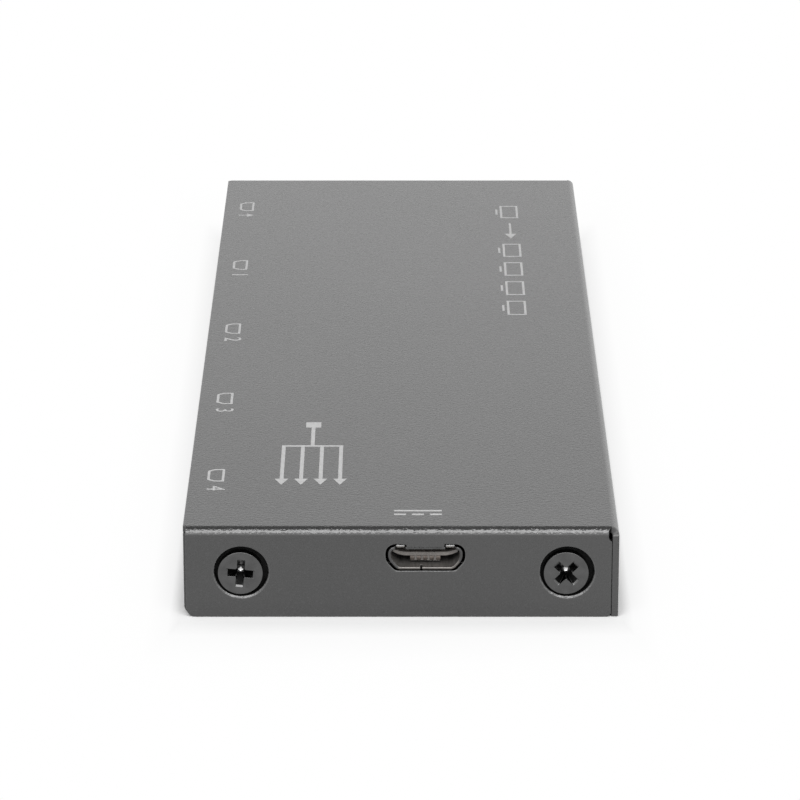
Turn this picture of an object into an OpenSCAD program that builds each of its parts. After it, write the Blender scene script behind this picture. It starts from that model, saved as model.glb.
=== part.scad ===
// A flat sheet-metal box that sends one video input to four outputs.
// X runs across the box, Y along it and Z up; the power end faces -Y and the
// row of video sockets faces -X. The origin is under the middle of the box.

/* [Case] */
// Length of the case along Y
case_l = 120; // [110:0.5:150]
// Width of the case along X
case_w = 43.5; // [40:0.5:60]
// Height of the case along Z
case_h = 9.5; // [9.3:0.1:14]
// Sheet thickness of the cover
cover_t = 0.7; // [0.6:0.05:0.9]
// Sheet thickness of the base
base_t = 0.7; // [0.6:0.05:0.9]
// Inner radius of the cover's bends
cover_bend = 0.1; // [0.05:0.05:0.3]
// Inner radius of the base's bends
base_bend = 0.2; // [0.05:0.05:0.4]
// Distance by which the end flaps stop short of the socket side
flap_inset = 0.35; // [0.2:0.05:0.7]
// Slit between an end flap and the plain side flap
flap_slit = 0.1; // [0.05:0.05:0.3]
// Radius of the relief hole where two bends meet
relief_r = 0.55; // [0.4:0.05:0.7]
// Distance of the relief hole's middle into the side flap
relief_x = 0.15; // [0.05:0.05:0.3]
// Distance of the relief hole's middle below the bend
relief_drop = 0.1; // [0:0.05:0.3]
// Gap between the cover and the base
case_gap = 0.1; // [0.05:0.05:0.3]
// Radius on the end flaps' lower corner at the socket side
flap_corner = 0.9; // [0.3:0.1:1.5]
// Chamfer on the end flaps' lower corner at the plain side
flap_chamfer = 0.35; // [0.1:0.05:0.8]
// Radius on the side flap's lower corners
side_corner = 0.25; // [0.1:0.05:0.6]

/* [End screws] */
// Thread diameter
screw_d = 2.5; // [2:0.1:3]
// Head diameter
head_d = 4.5; // [4:0.1:5]
// Head height
head_h = 0.95; // [0.85:0.05:1.2]
// Chamfer round the head's face
head_chamfer = 0.12; // [0.05:0.01:0.2]
// Shank length under the head
shank_l = 3.4; // [2.8:0.1:5]
// Chamfer on the shank's tip
tip_chamfer = 0.35; // [0.1:0.05:0.6]
// Width across the cross recess
cross_w = 2.9; // [2:0.1:3.3]
// Width across the floor of the cross recess
cross_floor_w = 1.5; // [1:0.1:2]
// Width of one arm of the cross recess
cross_arm = 0.72; // [0.5:0.02:0.9]
// Depth of the cross recess
cross_depth = 0.75; // [0.4:0.05:0.8]
// Distance of the left screws from the socket side
screw_left = 5.7; // [5:0.1:8]
// Distance of the right screws from the plain side
screw_right = 5.25; // [5:0.05:8]
// Height of the screws' axes above the bottom
screw_z = 4.7; // [4.5:0.1:5]
// Gap round a head in its seat
seat_gap = 0.5; // [0.2:0.05:0.7]
// Distance of a seat's middle to the right of its screw's axis
seat_shift = 0.12; // [0:0.01:0.15]
// Wall round a seat
seat_wall = 0.6; // [0.4:0.05:0.8]
// Thickness of a seat's floor
seat_floor = 0.65; // [0.5:0.05:1]
// Gap under a head
head_gap = 0.02; // [0.01:0.01:0.1]
// Gap round a shank in a seat's floor
shank_gap = 0.15; // [0.1:0.05:0.3]
// Gap round a shank in its nut
thread_gap = 0.05; // [0.02:0.01:0.1]

/* [Base tabs] */
// Width of an end tab
tab_w = 8; // [7:0.5:9]
// Height of an end tab above the bottom
tab_h = 8; // [7.5:0.1:8.3]
// Cut beside each end tab
tab_relief = 0.4; // [0.4:0.1:1]
// Gap between an end tab and the seat in front of it
tab_gap = 0.05; // [0.02:0.01:0.2]
// Length over which a tab's root runs into the bottom
tab_root = 0.5; // [0.3:0.1:1]
// Outer diameter of a clinch nut
nut_d = 5; // [4.6:0.1:6]
// Length of a clinch nut behind its tab
nut_l = 1.4; // [1:0.1:1.8]
// Diameter of a clinch nut's spigot
spigot_d = 3.6; // [3.4:0.1:4]
// Gap round a spigot in its tab
spigot_gap = 0.01; // [0.005:0.005:0.05]

/* [Video sockets] */
// Distance of the outer sockets' middles from the ends
socket_end = 13.4; // [13.2:0.1:14.5]
// Width of the opening
mouth_w = 14; // [13.5:0.1:14.2]
// Width of the opening at its foot
mouth_foot_w = 10.5; // [9.5:0.1:11.5]
// Height of the opening
mouth_h = 4.55; // [4.2:0.05:4.8]
// Height of the straight part of the opening's sides
mouth_side = 2.7; // [2.2:0.1:3.2]
// Radius in the opening's upper corners
mouth_r = 0.25; // [0.1:0.05:0.5]
// Thickness of a shell
shell_t = 0.35; // [0.25:0.05:0.4]
// Length of a shell
shell_l = 11.3; // [10:0.1:12.5]
// Distance of a mouth behind the wall's face
mouth_set = 0.1; // [0:0.05:0.4]
// Depth of a socket's middle below the board's top
socket_sink = 0.2; // [0:0.05:0.4]
// Gap round a shell in the wall
wall_gap = 0.2; // [0.1:0.05:0.4]
// Width of the tongue
tongue_w = 11.2; // [10.8:0.1:11.8]
// Thickness of the tongue
tongue_t = 1.2; // [1:0.05:1.4]
// Height of the tongue's middle above the socket's middle
tongue_rise = 0.2; // [0:0.05:0.4]
// Distance of the tongue's tip behind the mouth
tongue_set = 2; // [2:0.1:2.6]
// Length of the core's rear block
block_l = 3.6; // [3:0.1:4.5]
// Gap between a core and its shell
core_gap = 0.03; // [0.02:0.01:0.1]
// Distance between neighbouring contacts
contact_pitch = 0.5; // [0.48:0.01:0.55]
// Width of a contact
contact_w = 0.3; // [0.2:0.02:0.36]
// Thickness of a contact
contact_t = 0.12; // [0.08:0.01:0.16]
// Gap round a contact
contact_gap = 0.02; // [0.02:0.005:0.03]
// Distance of the contacts' ends behind the tongue's tip
contact_set = 0.5; // [0.3:0.1:1]
// Distance of the contacts' risers in front of the shell's end
riser_set = 1.6; // [1:0.1:2]
// Length of a contact's tail behind the shell
tail_l = 1.3; // [0.8:0.1:2]
// Width of a shell's ear
ear_w = 1.3; // [1.2:0.05:1.4]
// Length of a shell's ear
ear_l = 2.2; // [1.8:0.1:2.6]
// Thickness of a shell's ear
ear_t = 0.3; // [0.2:0.05:0.4]
// Distance of the front ears behind the mouth
ear_front = 3.7; // [3.7:0.1:4.5]
// Distance of the rear ears in front of the shell's end
ear_rear = 1.2; // [0.6:0.1:2]
// Distance of a leg's middle from the shell
leg_out = 1; // [0.9:0.05:1]
// Width of a leg
leg_w = 1.2; // [0.8:0.1:1.6]
// Thickness of a leg
leg_t = 0.3; // [0.2:0.05:0.35]
// Length of a leg under the board
leg_drop = 0.6; // [0.2:0.1:1]
// Gap round a leg in the board
leg_gap = 0.15; // [0.1:0.05:0.2]

/* [Power socket] */
// Distance of the socket's middle from the case's middle, to the right
power_x = 2.43; // [-3:0.01:4]
// Width of the opening
power_w = 6.9; // [6.6:0.1:7.2]
// Width of the opening at its foot
power_foot_w = 5.4; // [5:0.1:6]
// Height of the opening
power_h = 1.85; // [1.7:0.05:2]
// Height of the straight part of the opening's sides
power_side = 0.95; // [0.8:0.05:1.1]
// Radius in the opening's upper corners
power_r = 0.3; // [0.1:0.05:0.5]
// Thickness of the shell
power_shell_t = 0.3; // [0.2:0.05:0.35]
// Length of the shell
power_l = 5.2; // [4.8:0.1:6]
// Distance of the mouth behind the end's face
power_set = 0.1; // [0:0.05:0.3]
// Height of the shell above the board
power_lift = 0.05; // [0.02:0.01:0.1]
// Gap round the shell in the end flap
power_gap = 0.3; // [0.2:0.05:0.4]
// Length of the flared lips
lip_l = 0.4; // [0.3:0.05:0.6]
// Flare of the lips
lip_flare = 0.16; // [0.05:0.01:0.18]
// Width of one upper lip
lip_w = 1.1; // [0.8:0.1:1.5]
// Distance of the upper lips' middles from the socket's middle
lip_x = 2.55; // [2:0.05:2.7]
// Width of the lower lip
lip_low_w = 5; // [4:0.1:5.2]
// Height of a side lip
lip_side_h = 0.7; // [0.5:0.05:0.8]
// Width of the tongue
power_tongue_w = 5.7; // [3.6:0.1:5.8]
// Thickness of the tongue
power_tongue_t = 0.5; // [0.4:0.05:0.7]
// Height of the tongue's middle above the socket's middle
power_tongue_rise = 0.15; // [0:0.05:0.3]
// Distance of the tongue's tip behind the mouth
power_tongue_set = 0.9; // [0.6:0.1:1.2]
// Length of the core's rear block
power_block_l = 2; // [1.6:0.1:2.4]
// Distance between neighbouring contacts
power_pitch = 0.65; // [0.6:0.01:0.7]
// Width of a contact
power_contact_w = 0.4; // [0.3:0.05:0.5]
// Length of a contact's tail behind the shell
power_tail_l = 0.8; // [0.5:0.1:1.2]
// Distance of the contacts' risers in front of the shell's end
power_riser_set = 0.9; // [0.6:0.1:1.2]
// Distance of the legs behind the mouth
power_leg_set = 2.6; // [2.4:0.1:2.8]

/* [Board] */
// Thickness of the board
board_t = 1.6; // [1:0.1:1.8]
// Height of the standoffs under the board
standoff_h = 2.7; // [2.5:0.05:2.9]
// Diameter of a standoff
standoff_d = 5; // [4.5:0.1:5.6]
// Gap between the board and the socket wall
board_left = 0.35; // [0.2:0.05:0.6]
// Gap between the board and the plain side flap
board_right = 0.6; // [0.3:0.05:1.5]
// Gap between the board and the end flaps
board_end = 0.9; // [0.5:0.05:1.2]
// Gap between the board and what it is cut round
board_gap = 0.45; // [0.2:0.05:0.5]
// Gap between the board and a sunk shell
notch_gap = 0.25; // [0.15:0.05:0.3]
// Thread diameter of the board screws
board_screw_d = 2.5; // [2:0.1:2.6]
// Head diameter of the board screws
board_head_d = 4.2; // [3.8:0.1:4.4]
// Head height of the board screws
board_head_h = 1.3; // [1:0.1:1.8]
// Gap round a board screw in the board
board_screw_gap = 0.25; // [0.15:0.05:0.4]
// Distance of a board screw's tip above the bottom sheet
board_screw_tip = 0.4; // [0.2:0.1:1]
// Gap between the left board screws' heads and the shells' rear ears
stand_gap = 0.3; // [0.2:0.05:1]
// Distance of the right standoffs from the plain side
stand_right = 4.75; // [4.5:0.05:6]
// Distance of the right standoffs from the ends
stand_end = 15; // [12:0.5:20]
// Thickness of the insulation sheet
sheet_t = 0.2; // [0.1:0.05:0.5]
// Distance of the insulation sheet from the sides
sheet_side = 2.5; // [2:0.1:4]
// Distance of the insulation sheet from the ends
sheet_end = 7; // [6:0.5:12]
// Gap round a standoff in the insulation sheet
sheet_gap = 0.3; // [0.1:0.1:1]

/* [Board parts] */
// Width of the splitter chip
chip_w = 14; // [10:0.5:15]
// Thickness of the splitter chip
chip_t = 1.2; // [0.8:0.1:1.6]
// Gap between the memory chips and the splitter chip's leads
chip_gap = 0.8; // [0.4:0.1:2]
// Gap under a chip
chip_lift = 0.1; // [0.05:0.05:0.2]
// Distance between neighbouring leads
lead_pitch = 1; // [0.8:0.05:1.05]
// Width of a lead
lead_w = 0.4; // [0.2:0.05:0.5]
// Thickness of a lead
lead_t = 0.15; // [0.1:0.01:0.2]
// Reach of a lead out of its chip
lead_l = 1.3; // [1:0.1:1.6]
// Length of a lead's foot on the board
lead_foot = 0.6; // [0.4:0.05:0.8]
// Width of the thermal pad
pad_w = 12; // [8:0.5:14]
// Width of the control chip
control_w = 7; // [5:0.5:8]
// Thickness of the control chip
control_t = 0.9; // [0.6:0.1:1.2]
// Distance of the control chip in front of the splitter chip's middle
control_y = 20; // [18:0.5:24]
// Length of a memory chip
memory_l = 5; // [4:0.1:6]
// Width of a memory chip
memory_w = 4; // [3:0.1:4.4]
// Thickness of a memory chip
memory_t = 1.5; // [1:0.1:1.8]
// Distance of a memory chip behind its socket's tails
memory_set = 1.2; // [0.8:0.1:1.6]
// Width of an inductor
coil_w = 5; // [4:0.1:5.5]
// Height of an inductor
coil_h = 2.5; // [1.5:0.1:3]
// Gap between the memory chips and the first inductor
coil_gap = 1.35; // [0.6:0.05:2]
// Gap between the two power groups
supply_gap = 1.5; // [0.8:0.1:2]
// Distance of the inductors from the power end
coil_y = 14; // [12:0.5:16]
// Distance of the regulators behind the inductors
regulator_y = 7; // [6:0.5:9]
// Length of a regulator
regulator_l = 5; // [4:0.1:5.5]
// Width of a regulator
regulator_w = 4; // [3:0.1:4.5]
// Thickness of a regulator
regulator_t = 1.5; // [1:0.1:1.8]
// Length of the clock crystal
crystal_l = 3.2; // [2.5:0.1:5]
// Width of the clock crystal
crystal_w = 2.5; // [2:0.1:3.2]
// Height of the clock crystal
crystal_h = 0.8; // [0.6:0.1:1.2]
// Distance of the clock crystal behind the splitter chip's middle
crystal_y = 13; // [12:0.5:16]
// Length of a capacitor
cap_l = 1.6; // [1:0.1:2]
// Width of a capacitor
cap_w = 0.8; // [0.5:0.1:1.2]
// Distance between neighbouring capacitors
cap_pitch = 3; // [2:0.1:4]
// Distance of the capacitor row from the plain side
cap_right = 9; // [8:0.1:10]
// Distance of the capacitor row's middle behind the case's middle
cap_y = 26; // [24:0.5:30]

/* [Status lamps] */
// Diameter of a light pipe
pipe_d = 1.4; // [1:0.1:1.6]
// Gap round a light pipe in the wall
pipe_gap = 0.05; // [0.03:0.01:0.2]
// Distance of a light pipe's tip behind the wall's face
pipe_set = 0.05; // [0:0.01:0.3]
// Height of a light pipe's middle above the board
pipe_rise = 0.9; // [0.8:0.05:1.1]
// Distance of a lamp from the middle between two sockets
lamp_side = 1.3; // [1.1:0.05:1.5]
// Width of a light pipe's foot
foot_w = 1.8; // [1.4:0.1:1.9]
// Length of a light pipe's foot
foot_l = 1.4; // [1:0.1:1.5]
// Distance of a light pipe's foot from the socket side
foot_x = 1.25; // [1.2:0.05:1.35]
// Gap between a light pipe and its lamp
lamp_gap = 0.1; // [0.05:0.05:0.3]
// Length of a lamp
lamp_l = 1.6; // [1:0.1:1.8]
// Width of a lamp
lamp_w = 0.8; // [0.5:0.1:1]
// Height of a lamp
lamp_h = 0.8; // [0.5:0.1:1.2]

/* [Hidden] */
$fn = 48;
socket_names = ["video_out_4", "video_out_3", "video_out_2", "video_out_1", "video_in"];
// Turn of each end screw's cross, in degrees: front left, front right, rear left, rear right
screw_turns = [5, 45, 20, 70];
// Number of contacts in a video socket, in the power socket, and of leads on one side of the chip
contact_count = 19;
power_contact_count = 5;
lead_count = 12;
cap_count = 6;
// How far a cut runs past the face that it opens
cut = max(cover_t, base_t);
cover_r = cover_bend + cover_t;
base_r = base_bend + base_t;
flap_x0 = -case_w / 2 + flap_inset;
flap_x1 = case_w / 2 - max(cover_r, cover_t + flap_slit);
screw_x = [-case_w / 2 + screw_left, case_w / 2 - screw_right];
seat_d = head_d + 2 * seat_gap;
seat_depth = head_h + head_gap;
tab_y = seat_depth + seat_floor + tab_gap;
base_end = case_l / 2 - cover_t - case_gap;
board_z = base_t + standoff_h;
board_top = board_z + board_t;
board_x0 = -case_w / 2 + base_t + board_left;
board_x1 = case_w / 2 - cover_t - board_right;
board_y1 = case_l / 2 - cover_t - board_end;
corner_y = case_l / 2 - tab_y - base_t - nut_l - board_gap;
socket_pitch = case_l / 4 - socket_end / 2;
socket_x = -case_w / 2 + mouth_set;
socket_z = board_top - socket_sink;
shell_w = mouth_w + 2 * shell_t;
tail_x = socket_x + shell_l + tail_l;
memory_x = tail_x + memory_set + memory_w;
chip_x = memory_x + chip_gap + lead_l + chip_w / 2;
supply_w = max(coil_w, regulator_l);
supply_x = memory_x + coil_gap + supply_w / 2;
supply_pitch = supply_w + supply_gap;
stand_x = socket_x + shell_l - ear_rear + stand_gap + board_head_d / 2;
power_y = -case_l / 2 + power_set;
power_z = board_top + power_lift + power_shell_t + power_h / 2;
pipe_z = board_top + pipe_rise;
stand_xy = [
  [stand_x, -1.5 * socket_pitch],
  [stand_x, 1.5 * socket_pitch],
  [case_w / 2 - stand_right, -case_l / 2 + stand_end],
  [case_w / 2 - stand_right, case_l / 2 - stand_end]
];
function socket_y(i) = (i - 2) * socket_pitch;
function lamp_y(i) = socket_y(i) + (i < 4 ? 1 : -1) * (socket_pitch / 2 - lamp_side);
function ear_x(j) = j == 0 ? ear_front : shell_l - ear_rear - ear_l;

// An outline in Y and Z, run along X from x0 to x1
module along_x(x0, x1) {
  translate([x0, 0, 0])
    rotate([90, 0, 90])
      linear_extrude(x1 - x0)
        children();
}

// An outline in X and Z, run along Y from y0 to y1
module along_y(y0, y1) {
  translate([0, y1, 0])
    rotate([90, 0, 0])
      linear_extrude(y1 - y0)
        children();
}

// The quarter ring of a bent sheet
module bend(inner, t) {
  intersection() {
    difference() {
      circle(inner + t);
      circle(inner);
    }
    square(inner + t);
  }
}

// What a rounding of radius r takes off a corner at the origin
module corner_waste(r) {
  difference() {
    translate([-cut, -cut])
      square(r + cut);
    translate([r, r])
      circle(r);
    translate([r, -2 * cut])
      square(r + 4 * cut);
    translate([-2 * cut, r])
      square(r + 4 * cut);
  }
}

// A socket's outline: straight sides above, drawn in below, grown by g
module socket_outline(w, foot_w, h, side, g, r) {
  a = atan((w - foot_w) / 2 / (h - side));
  x1 = w / 2 + g;
  x2 = foot_w / 2 + g * tan((90 - a) / 2);
  top = h / 2 + g;
  mid = h / 2 - side - g * tan(a / 2);
  low = -h / 2 - g;
  polygon([
    [-x1 + r, top], [x1 - r, top], [x1, top - r], [x1, mid],
    [x2, low], [-x2, low], [-x1, mid], [-x1, top - r]
  ]);
  for (s = [-1, 1])
    translate([s * (x1 - r), top - r])
      circle(r);
}

module video_outline(g) {
  socket_outline(mouth_w, mouth_foot_w, mouth_h, mouth_side, g, mouth_r + max(g, 0));
}

module power_outline(g) {
  socket_outline(power_w, power_foot_w, power_h, power_side, g, power_r + max(g, 0));
}

// Puts a child at end screw i, with +Y into the case
module at_screw(i) {
  translate([screw_x[i % 2], (i < 2 ? -1 : 1) * case_l / 2, screw_z])
    rotate([0, 0, i < 2 ? 0 : 180])
      children();
}

// Puts a child at video socket i, with +X into the case
module at_socket(i) {
  translate([socket_x, socket_y(i), socket_z])
    children();
}

// Puts a child at the power socket, with +X into the case
module at_power() {
  translate([power_x, power_y, power_z])
    rotate([0, 0, 90])
      children();
}

// The outline of an end flap with its bend, at the end of larger Y
module flap_profile() {
  translate([case_l / 2 - cover_t, 0])
    square([cover_t, case_h - cover_r]);
  translate([case_l / 2 - cover_r, case_h - cover_r])
    bend(cover_bend, cover_t);
}

module side_profile() {
  translate([case_w / 2 - cover_t, 0])
    square([cover_t, case_h - cover_r]);
  translate([case_w / 2 - cover_r, case_h - cover_r])
    bend(cover_bend, cover_t);
}

module seat_boss() {
  rotate([-90, 0, 0])
    translate([seat_shift, 0, cover_t / 2])
      cylinder(h = seat_depth + seat_floor - cover_t / 2, d = seat_d + 2 * seat_wall);
}

module seat_cut() {
  rotate([-90, 0, 0]) {
    translate([seat_shift, 0, -cut])
      cylinder(h = cut + seat_depth, d = seat_d);
    cylinder(h = seat_depth + seat_floor + cut, d = screw_d + 2 * shank_gap);
  }
}

module flap_waste() {
  translate([flap_x0, 0])
    corner_waste(flap_corner);
  polygon([
    [flap_x1 - flap_chamfer - cut, -cut],
    [flap_x1 + flap_slit / 2, -cut],
    [flap_x1 + flap_slit / 2, flap_chamfer + flap_slit / 2]
  ]);
}

module side_waste() {
  for (s = [0, 1])
    mirror([s, 0])
      translate([-case_l / 2, 0])
        corner_waste(side_corner);
}

module relief_cut() {
  translate([case_w / 2 - cover_t + relief_x, case_l / 2, case_h - cover_r - relief_drop])
    rotate([90, 0, 0])
      cylinder(h = 2 * cover_r, r = relief_r, center = true);
}

// An end flap with its bend, at the front for s = 1 and at the rear for s = 0
module end_flap(s) {
  mirror([0, s, 0])
    difference() {
      along_x(flap_x0, flap_x1)
        flap_profile();
      along_y(case_l / 2 - cover_t - cut, case_l / 2 + cut)
        flap_waste();
      relief_cut();
    }
}

module side_flap() {
  difference() {
    along_y(-case_l / 2, case_l / 2)
      side_profile();
    along_x(case_w / 2 - cover_t - cut, case_w / 2 + cut)
      side_waste();
  }
}

module top_cover() {
  color("#6b6b6d")
    difference() {
      union() {
        translate([-case_w / 2, -case_l / 2 + cover_r, case_h - cover_t])
          cube([case_w - cover_r, case_l - 2 * cover_r, cover_t]);
        end_flap(0);
        side_flap();
        for (i = [2, 3])
          at_screw(i)
            seat_boss();
      }
      for (i = [2, 3])
        at_screw(i)
          seat_cut();
    }
}

// The cover's flap at the power end, one sheet with the top panel, which it meets at the bend
module front_flap() {
  color("#6b6b6d")
    difference() {
      union() {
        end_flap(1);
        for (i = [0, 1])
          at_screw(i)
            seat_boss();
      }
      for (i = [0, 1])
        at_screw(i)
          seat_cut();
      along_y(-case_l / 2 - cut, -case_l / 2 + cover_t + cut)
        translate([power_x, power_z])
          power_outline(power_shell_t + power_gap);
    }
}

module base_profile() {
  translate([-case_w / 2 + base_r, 0])
    square([case_w - base_r - cover_t - case_gap, base_t]);
  translate([-case_w / 2, base_r])
    square([base_t, case_h - cover_t - case_gap - base_r]);
  translate([-case_w / 2 + base_r, base_r])
    rotate(180)
      bend(base_bend, base_t);
}

module tab_profile() {
  translate([tab_y, base_r])
    square([base_t, tab_h - base_r]);
  translate([tab_y + base_r, base_r])
    rotate(180)
      bend(base_bend, base_t);
  translate([tab_y + base_r, 0])
    square([tab_root, base_t]);
}

module tab_notch() {
  translate([-tab_w / 2 - tab_relief, 0, -screw_z - cut])
    cube([tab_w + 2 * tab_relief, tab_y + base_r, base_t + 2 * cut]);
}

module base_tray() {
  color("#5c5c5e")
    difference() {
      union() {
        difference() {
          along_y(-base_end, base_end)
            base_profile();
          for (i = [0:3])
            at_screw(i)
              tab_notch();
        }
        for (i = [0:3])
          at_screw(i)
            translate([0, 0, -screw_z])
              along_x(-tab_w / 2, tab_w / 2)
                tab_profile();
      }
      for (i = [0:3])
        at_screw(i)
          translate([0, tab_y - cut, 0])
            rotate([-90, 0, 0])
              cylinder(h = base_t + 2 * cut, d = spigot_d + 2 * spigot_gap);
      along_x(-case_w / 2 - cut, -case_w / 2 + base_t + cut)
        for (i = [0:4])
          translate([socket_y(i), socket_z])
            video_outline(shell_t + wall_gap);
      along_x(-case_w / 2 - cut, -case_w / 2 + base_t + cut)
        for (i = [0:4])
          translate([lamp_y(i), pipe_z])
            circle(d = pipe_d + 2 * pipe_gap);
    }
}

module clinch_nuts() {
  bore_r = screw_d / 2 + thread_gap;
  color("#b9bcc0")
    for (i = [0:3])
      at_screw(i)
        translate([0, tab_y, 0])
          rotate([-90, 0, 0])
            rotate_extrude()
              polygon([
                [bore_r, 0], [spigot_d / 2, 0], [spigot_d / 2, base_t],
                [nut_d / 2, base_t], [nut_d / 2, base_t + nut_l], [bore_r, base_t + nut_l]
              ]);
}

module cross_cut() {
  for (a = [0, 90])
    rotate([0, 0, a])
      along_y(-cross_arm / 2, cross_arm / 2)
        polygon([
          [-cross_w / 2, -cut], [cross_w / 2, -cut], [cross_w / 2, 0],
          [cross_floor_w / 2, cross_depth], [-cross_floor_w / 2, cross_depth], [-cross_w / 2, 0]
        ]);
}

module end_screw(i) {
  r = screw_d / 2;
  end = head_h + shank_l;
  color("#3c3c3f")
    at_screw(i)
      rotate([0, screw_turns[i], 0])
        rotate([-90, 0, 0])
          difference() {
            rotate_extrude()
              polygon([
                [0, 0], [head_d / 2 - head_chamfer, 0], [head_d / 2, head_chamfer],
                [head_d / 2, head_h], [r, head_h], [r, end - tip_chamfer],
                [r - tip_chamfer, end], [0, end]
              ]);
            cross_cut();
          }
}

module insulation_sheet() {
  color("#d9d3bf")
    translate([0, 0, base_t])
      linear_extrude(sheet_t)
        difference() {
          square([case_w - 2 * sheet_side, case_l - 2 * sheet_end], center = true);
          for (p = stand_xy)
            translate(p)
              circle(d = standoff_d + 2 * sheet_gap);
        }
}

module board_standoffs() {
  color("#c3a45a")
    for (p = stand_xy)
      translate([p[0], p[1], base_t])
        linear_extrude(standoff_h)
          difference() {
            circle(d = standoff_d);
            circle(d = board_screw_d + 2 * thread_gap);
          }
}

module board_screws() {
  r = board_screw_d / 2;
  color("#a9acb0")
    for (p = stand_xy)
      translate([p[0], p[1], board_top])
        rotate_extrude()
          polygon([
            [0, board_head_h], [r, board_head_h], [board_head_d / 2, board_head_h / 2],
            [board_head_d / 2, 0], [r, 0],
            [r, base_t + board_screw_tip - board_top], [0, base_t + board_screw_tip - board_top]
          ]);
}

module leg_slot() {
  square([leg_w + 2 * leg_gap, leg_t + 2 * leg_gap], center = true);
}

module board_outline() {
  notch_w = shell_w + 2 * notch_gap;
  difference() {
    translate([board_x0, -board_y1])
      square([board_x1 - board_x0, 2 * board_y1]);
    for (s = [0, 1])
      mirror([0, s]) {
        translate([-case_w / 2, corner_y])
          square([screw_left + tab_w / 2 + board_gap, case_l]);
        translate([screw_x[1] - tab_w / 2 - board_gap, corner_y])
          square([case_w, case_l]);
      }
    for (i = [0:4]) {
      translate([-case_w / 2, socket_y(i) - notch_w / 2])
        square([mouth_set + shell_l + notch_gap, notch_w]);
      for (s = [-1, 1])
        for (j = [0, 1])
          translate([socket_x + ear_x(j) + ear_l / 2, socket_y(i) + s * (shell_w / 2 + leg_out)])
            leg_slot();
    }
    for (s = [-1, 1])
      translate([power_x + s * (power_w / 2 + power_shell_t + leg_out), power_y + power_leg_set])
        rotate(90)
          leg_slot();
    for (p = stand_xy)
      translate(p)
        circle(d = board_screw_d + 2 * board_screw_gap);
  }
}

module circuit_board() {
  color("#1f5a3a")
    translate([0, 0, board_z])
      linear_extrude(board_t)
        board_outline();
}

// A pair of ears on the board, each with its leg through it. They run from the distance root
// under a shell's skin to past its side at the distance half; the shell's middle is at height mid.
module ears(x, root, half, mid) {
  z = board_top - mid;
  for (s = [0, 1])
    mirror([0, s, 0]) {
      translate([x, root, z])
        cube([ear_l, half - root + ear_w, ear_t]);
      translate([x + ear_l / 2 - leg_w / 2, half + leg_out - leg_t / 2, z - board_t - leg_drop])
        cube([leg_w, leg_t, board_t + leg_drop + ear_t / 2]);
    }
}

module video_shell(i) {
  color("#c9ccd0")
    at_socket(i) {
      along_x(0, shell_l)
        difference() {
          video_outline(shell_t);
          video_outline(0);
        }
      for (j = [0, 1])
        ears(ear_x(j), mouth_w / 2 + shell_t / 2, shell_w / 2, socket_z);
    }
}

// A contact: a blade from x0, a riser at x1 and a tail that ends at x2
module contact(x0, x1, x2, blade, tail, t, w) {
  a = blade > tail ? x1 : x1 + t;
  b = blade > tail ? x1 + t : x1;
  along_y(-w / 2, w / 2)
    polygon([
      [x0, blade], [a, blade], [a, tail], [x2, tail],
      [x2, tail + t], [b, tail + t], [b, blade + t], [x0, blade + t]
    ]);
}

// The channel that a contact takes in a core, from the block's face at x0 to past its end at x2
module contact_channel(x0, x1, x2, blade, tail, t, w) {
  g = contact_gap / 2;
  low = min(blade, tail) - g;
  high = max(blade, tail) + t + g;
  translate([x0 - g, -w / 2 - g, blade - g])
    cube([x1 - x0 + 2 * g, w + 2 * g, t + 2 * g]);
  translate([x1 - g, -w / 2 - g, low])
    cube([x2 - x1 + cut, w + 2 * g, high - low]);
}

// Height of contact k's blade, upper row for even k
function blade_z(k) = k % 2 == 0
  ? tongue_rise + tongue_t / 2 + contact_gap
  : tongue_rise - tongue_t / 2 - contact_gap - contact_t;

module video_core(i) {
  tail = socket_sink + contact_gap;
  color("#1d1d1f")
    at_socket(i)
      difference() {
        union() {
          along_x(shell_l - block_l, shell_l)
            video_outline(-core_gap);
          translate([tongue_set, -tongue_w / 2, tongue_rise - tongue_t / 2])
            cube([shell_l - block_l / 2 - tongue_set, tongue_w, tongue_t]);
        }
        for (k = [0:contact_count - 1])
          translate([0, (k - (contact_count - 1) / 2) * contact_pitch, 0])
            contact_channel(
              shell_l - block_l, shell_l - riser_set, shell_l, blade_z(k), tail, contact_t, contact_w
            );
      }
}

module video_contacts(i) {
  tail = socket_sink + contact_gap;
  color("#d8b04c")
    at_socket(i)
      for (k = [0:contact_count - 1])
        translate([0, (k - (contact_count - 1) / 2) * contact_pitch, 0])
          contact(
            tongue_set + contact_set, shell_l - riser_set, shell_l + tail_l,
            blade_z(k), tail, contact_t, contact_w
          );
}

// A lip in X and Z that flares from a sheet whose outer face is at height z
module lip_profile(z) {
  t = power_shell_t;
  polygon([
    [0, z + lip_flare], [lip_l, z], [lip_l + t, z],
    [lip_l + t, z - t], [lip_l, z - t], [0, z + lip_flare - t]
  ]);
}

module power_lips() {
  top = power_h / 2 + power_shell_t;
  for (s = [-1, 1])
    translate([0, s * lip_x, 0])
      along_y(-lip_w / 2, lip_w / 2)
        lip_profile(top);
  mirror([0, 0, 1])
    along_y(-lip_low_w / 2, lip_low_w / 2)
      lip_profile(top);
  for (s = [0, 1])
    mirror([0, s, 0])
      translate([0, 0, power_h / 2 - power_r - lip_side_h])
        linear_extrude(lip_side_h)
          lip_profile(power_w / 2 + power_shell_t);
}

module power_shell() {
  half = power_w / 2 + power_shell_t;
  color("#d3d5d8")
    at_power() {
      along_x(lip_l, power_l)
        difference() {
          power_outline(power_shell_t);
          power_outline(0);
        }
      power_lips();
      ears(power_leg_set - ear_l / 2, power_foot_w / 2, half, power_z);
    }
}

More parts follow.
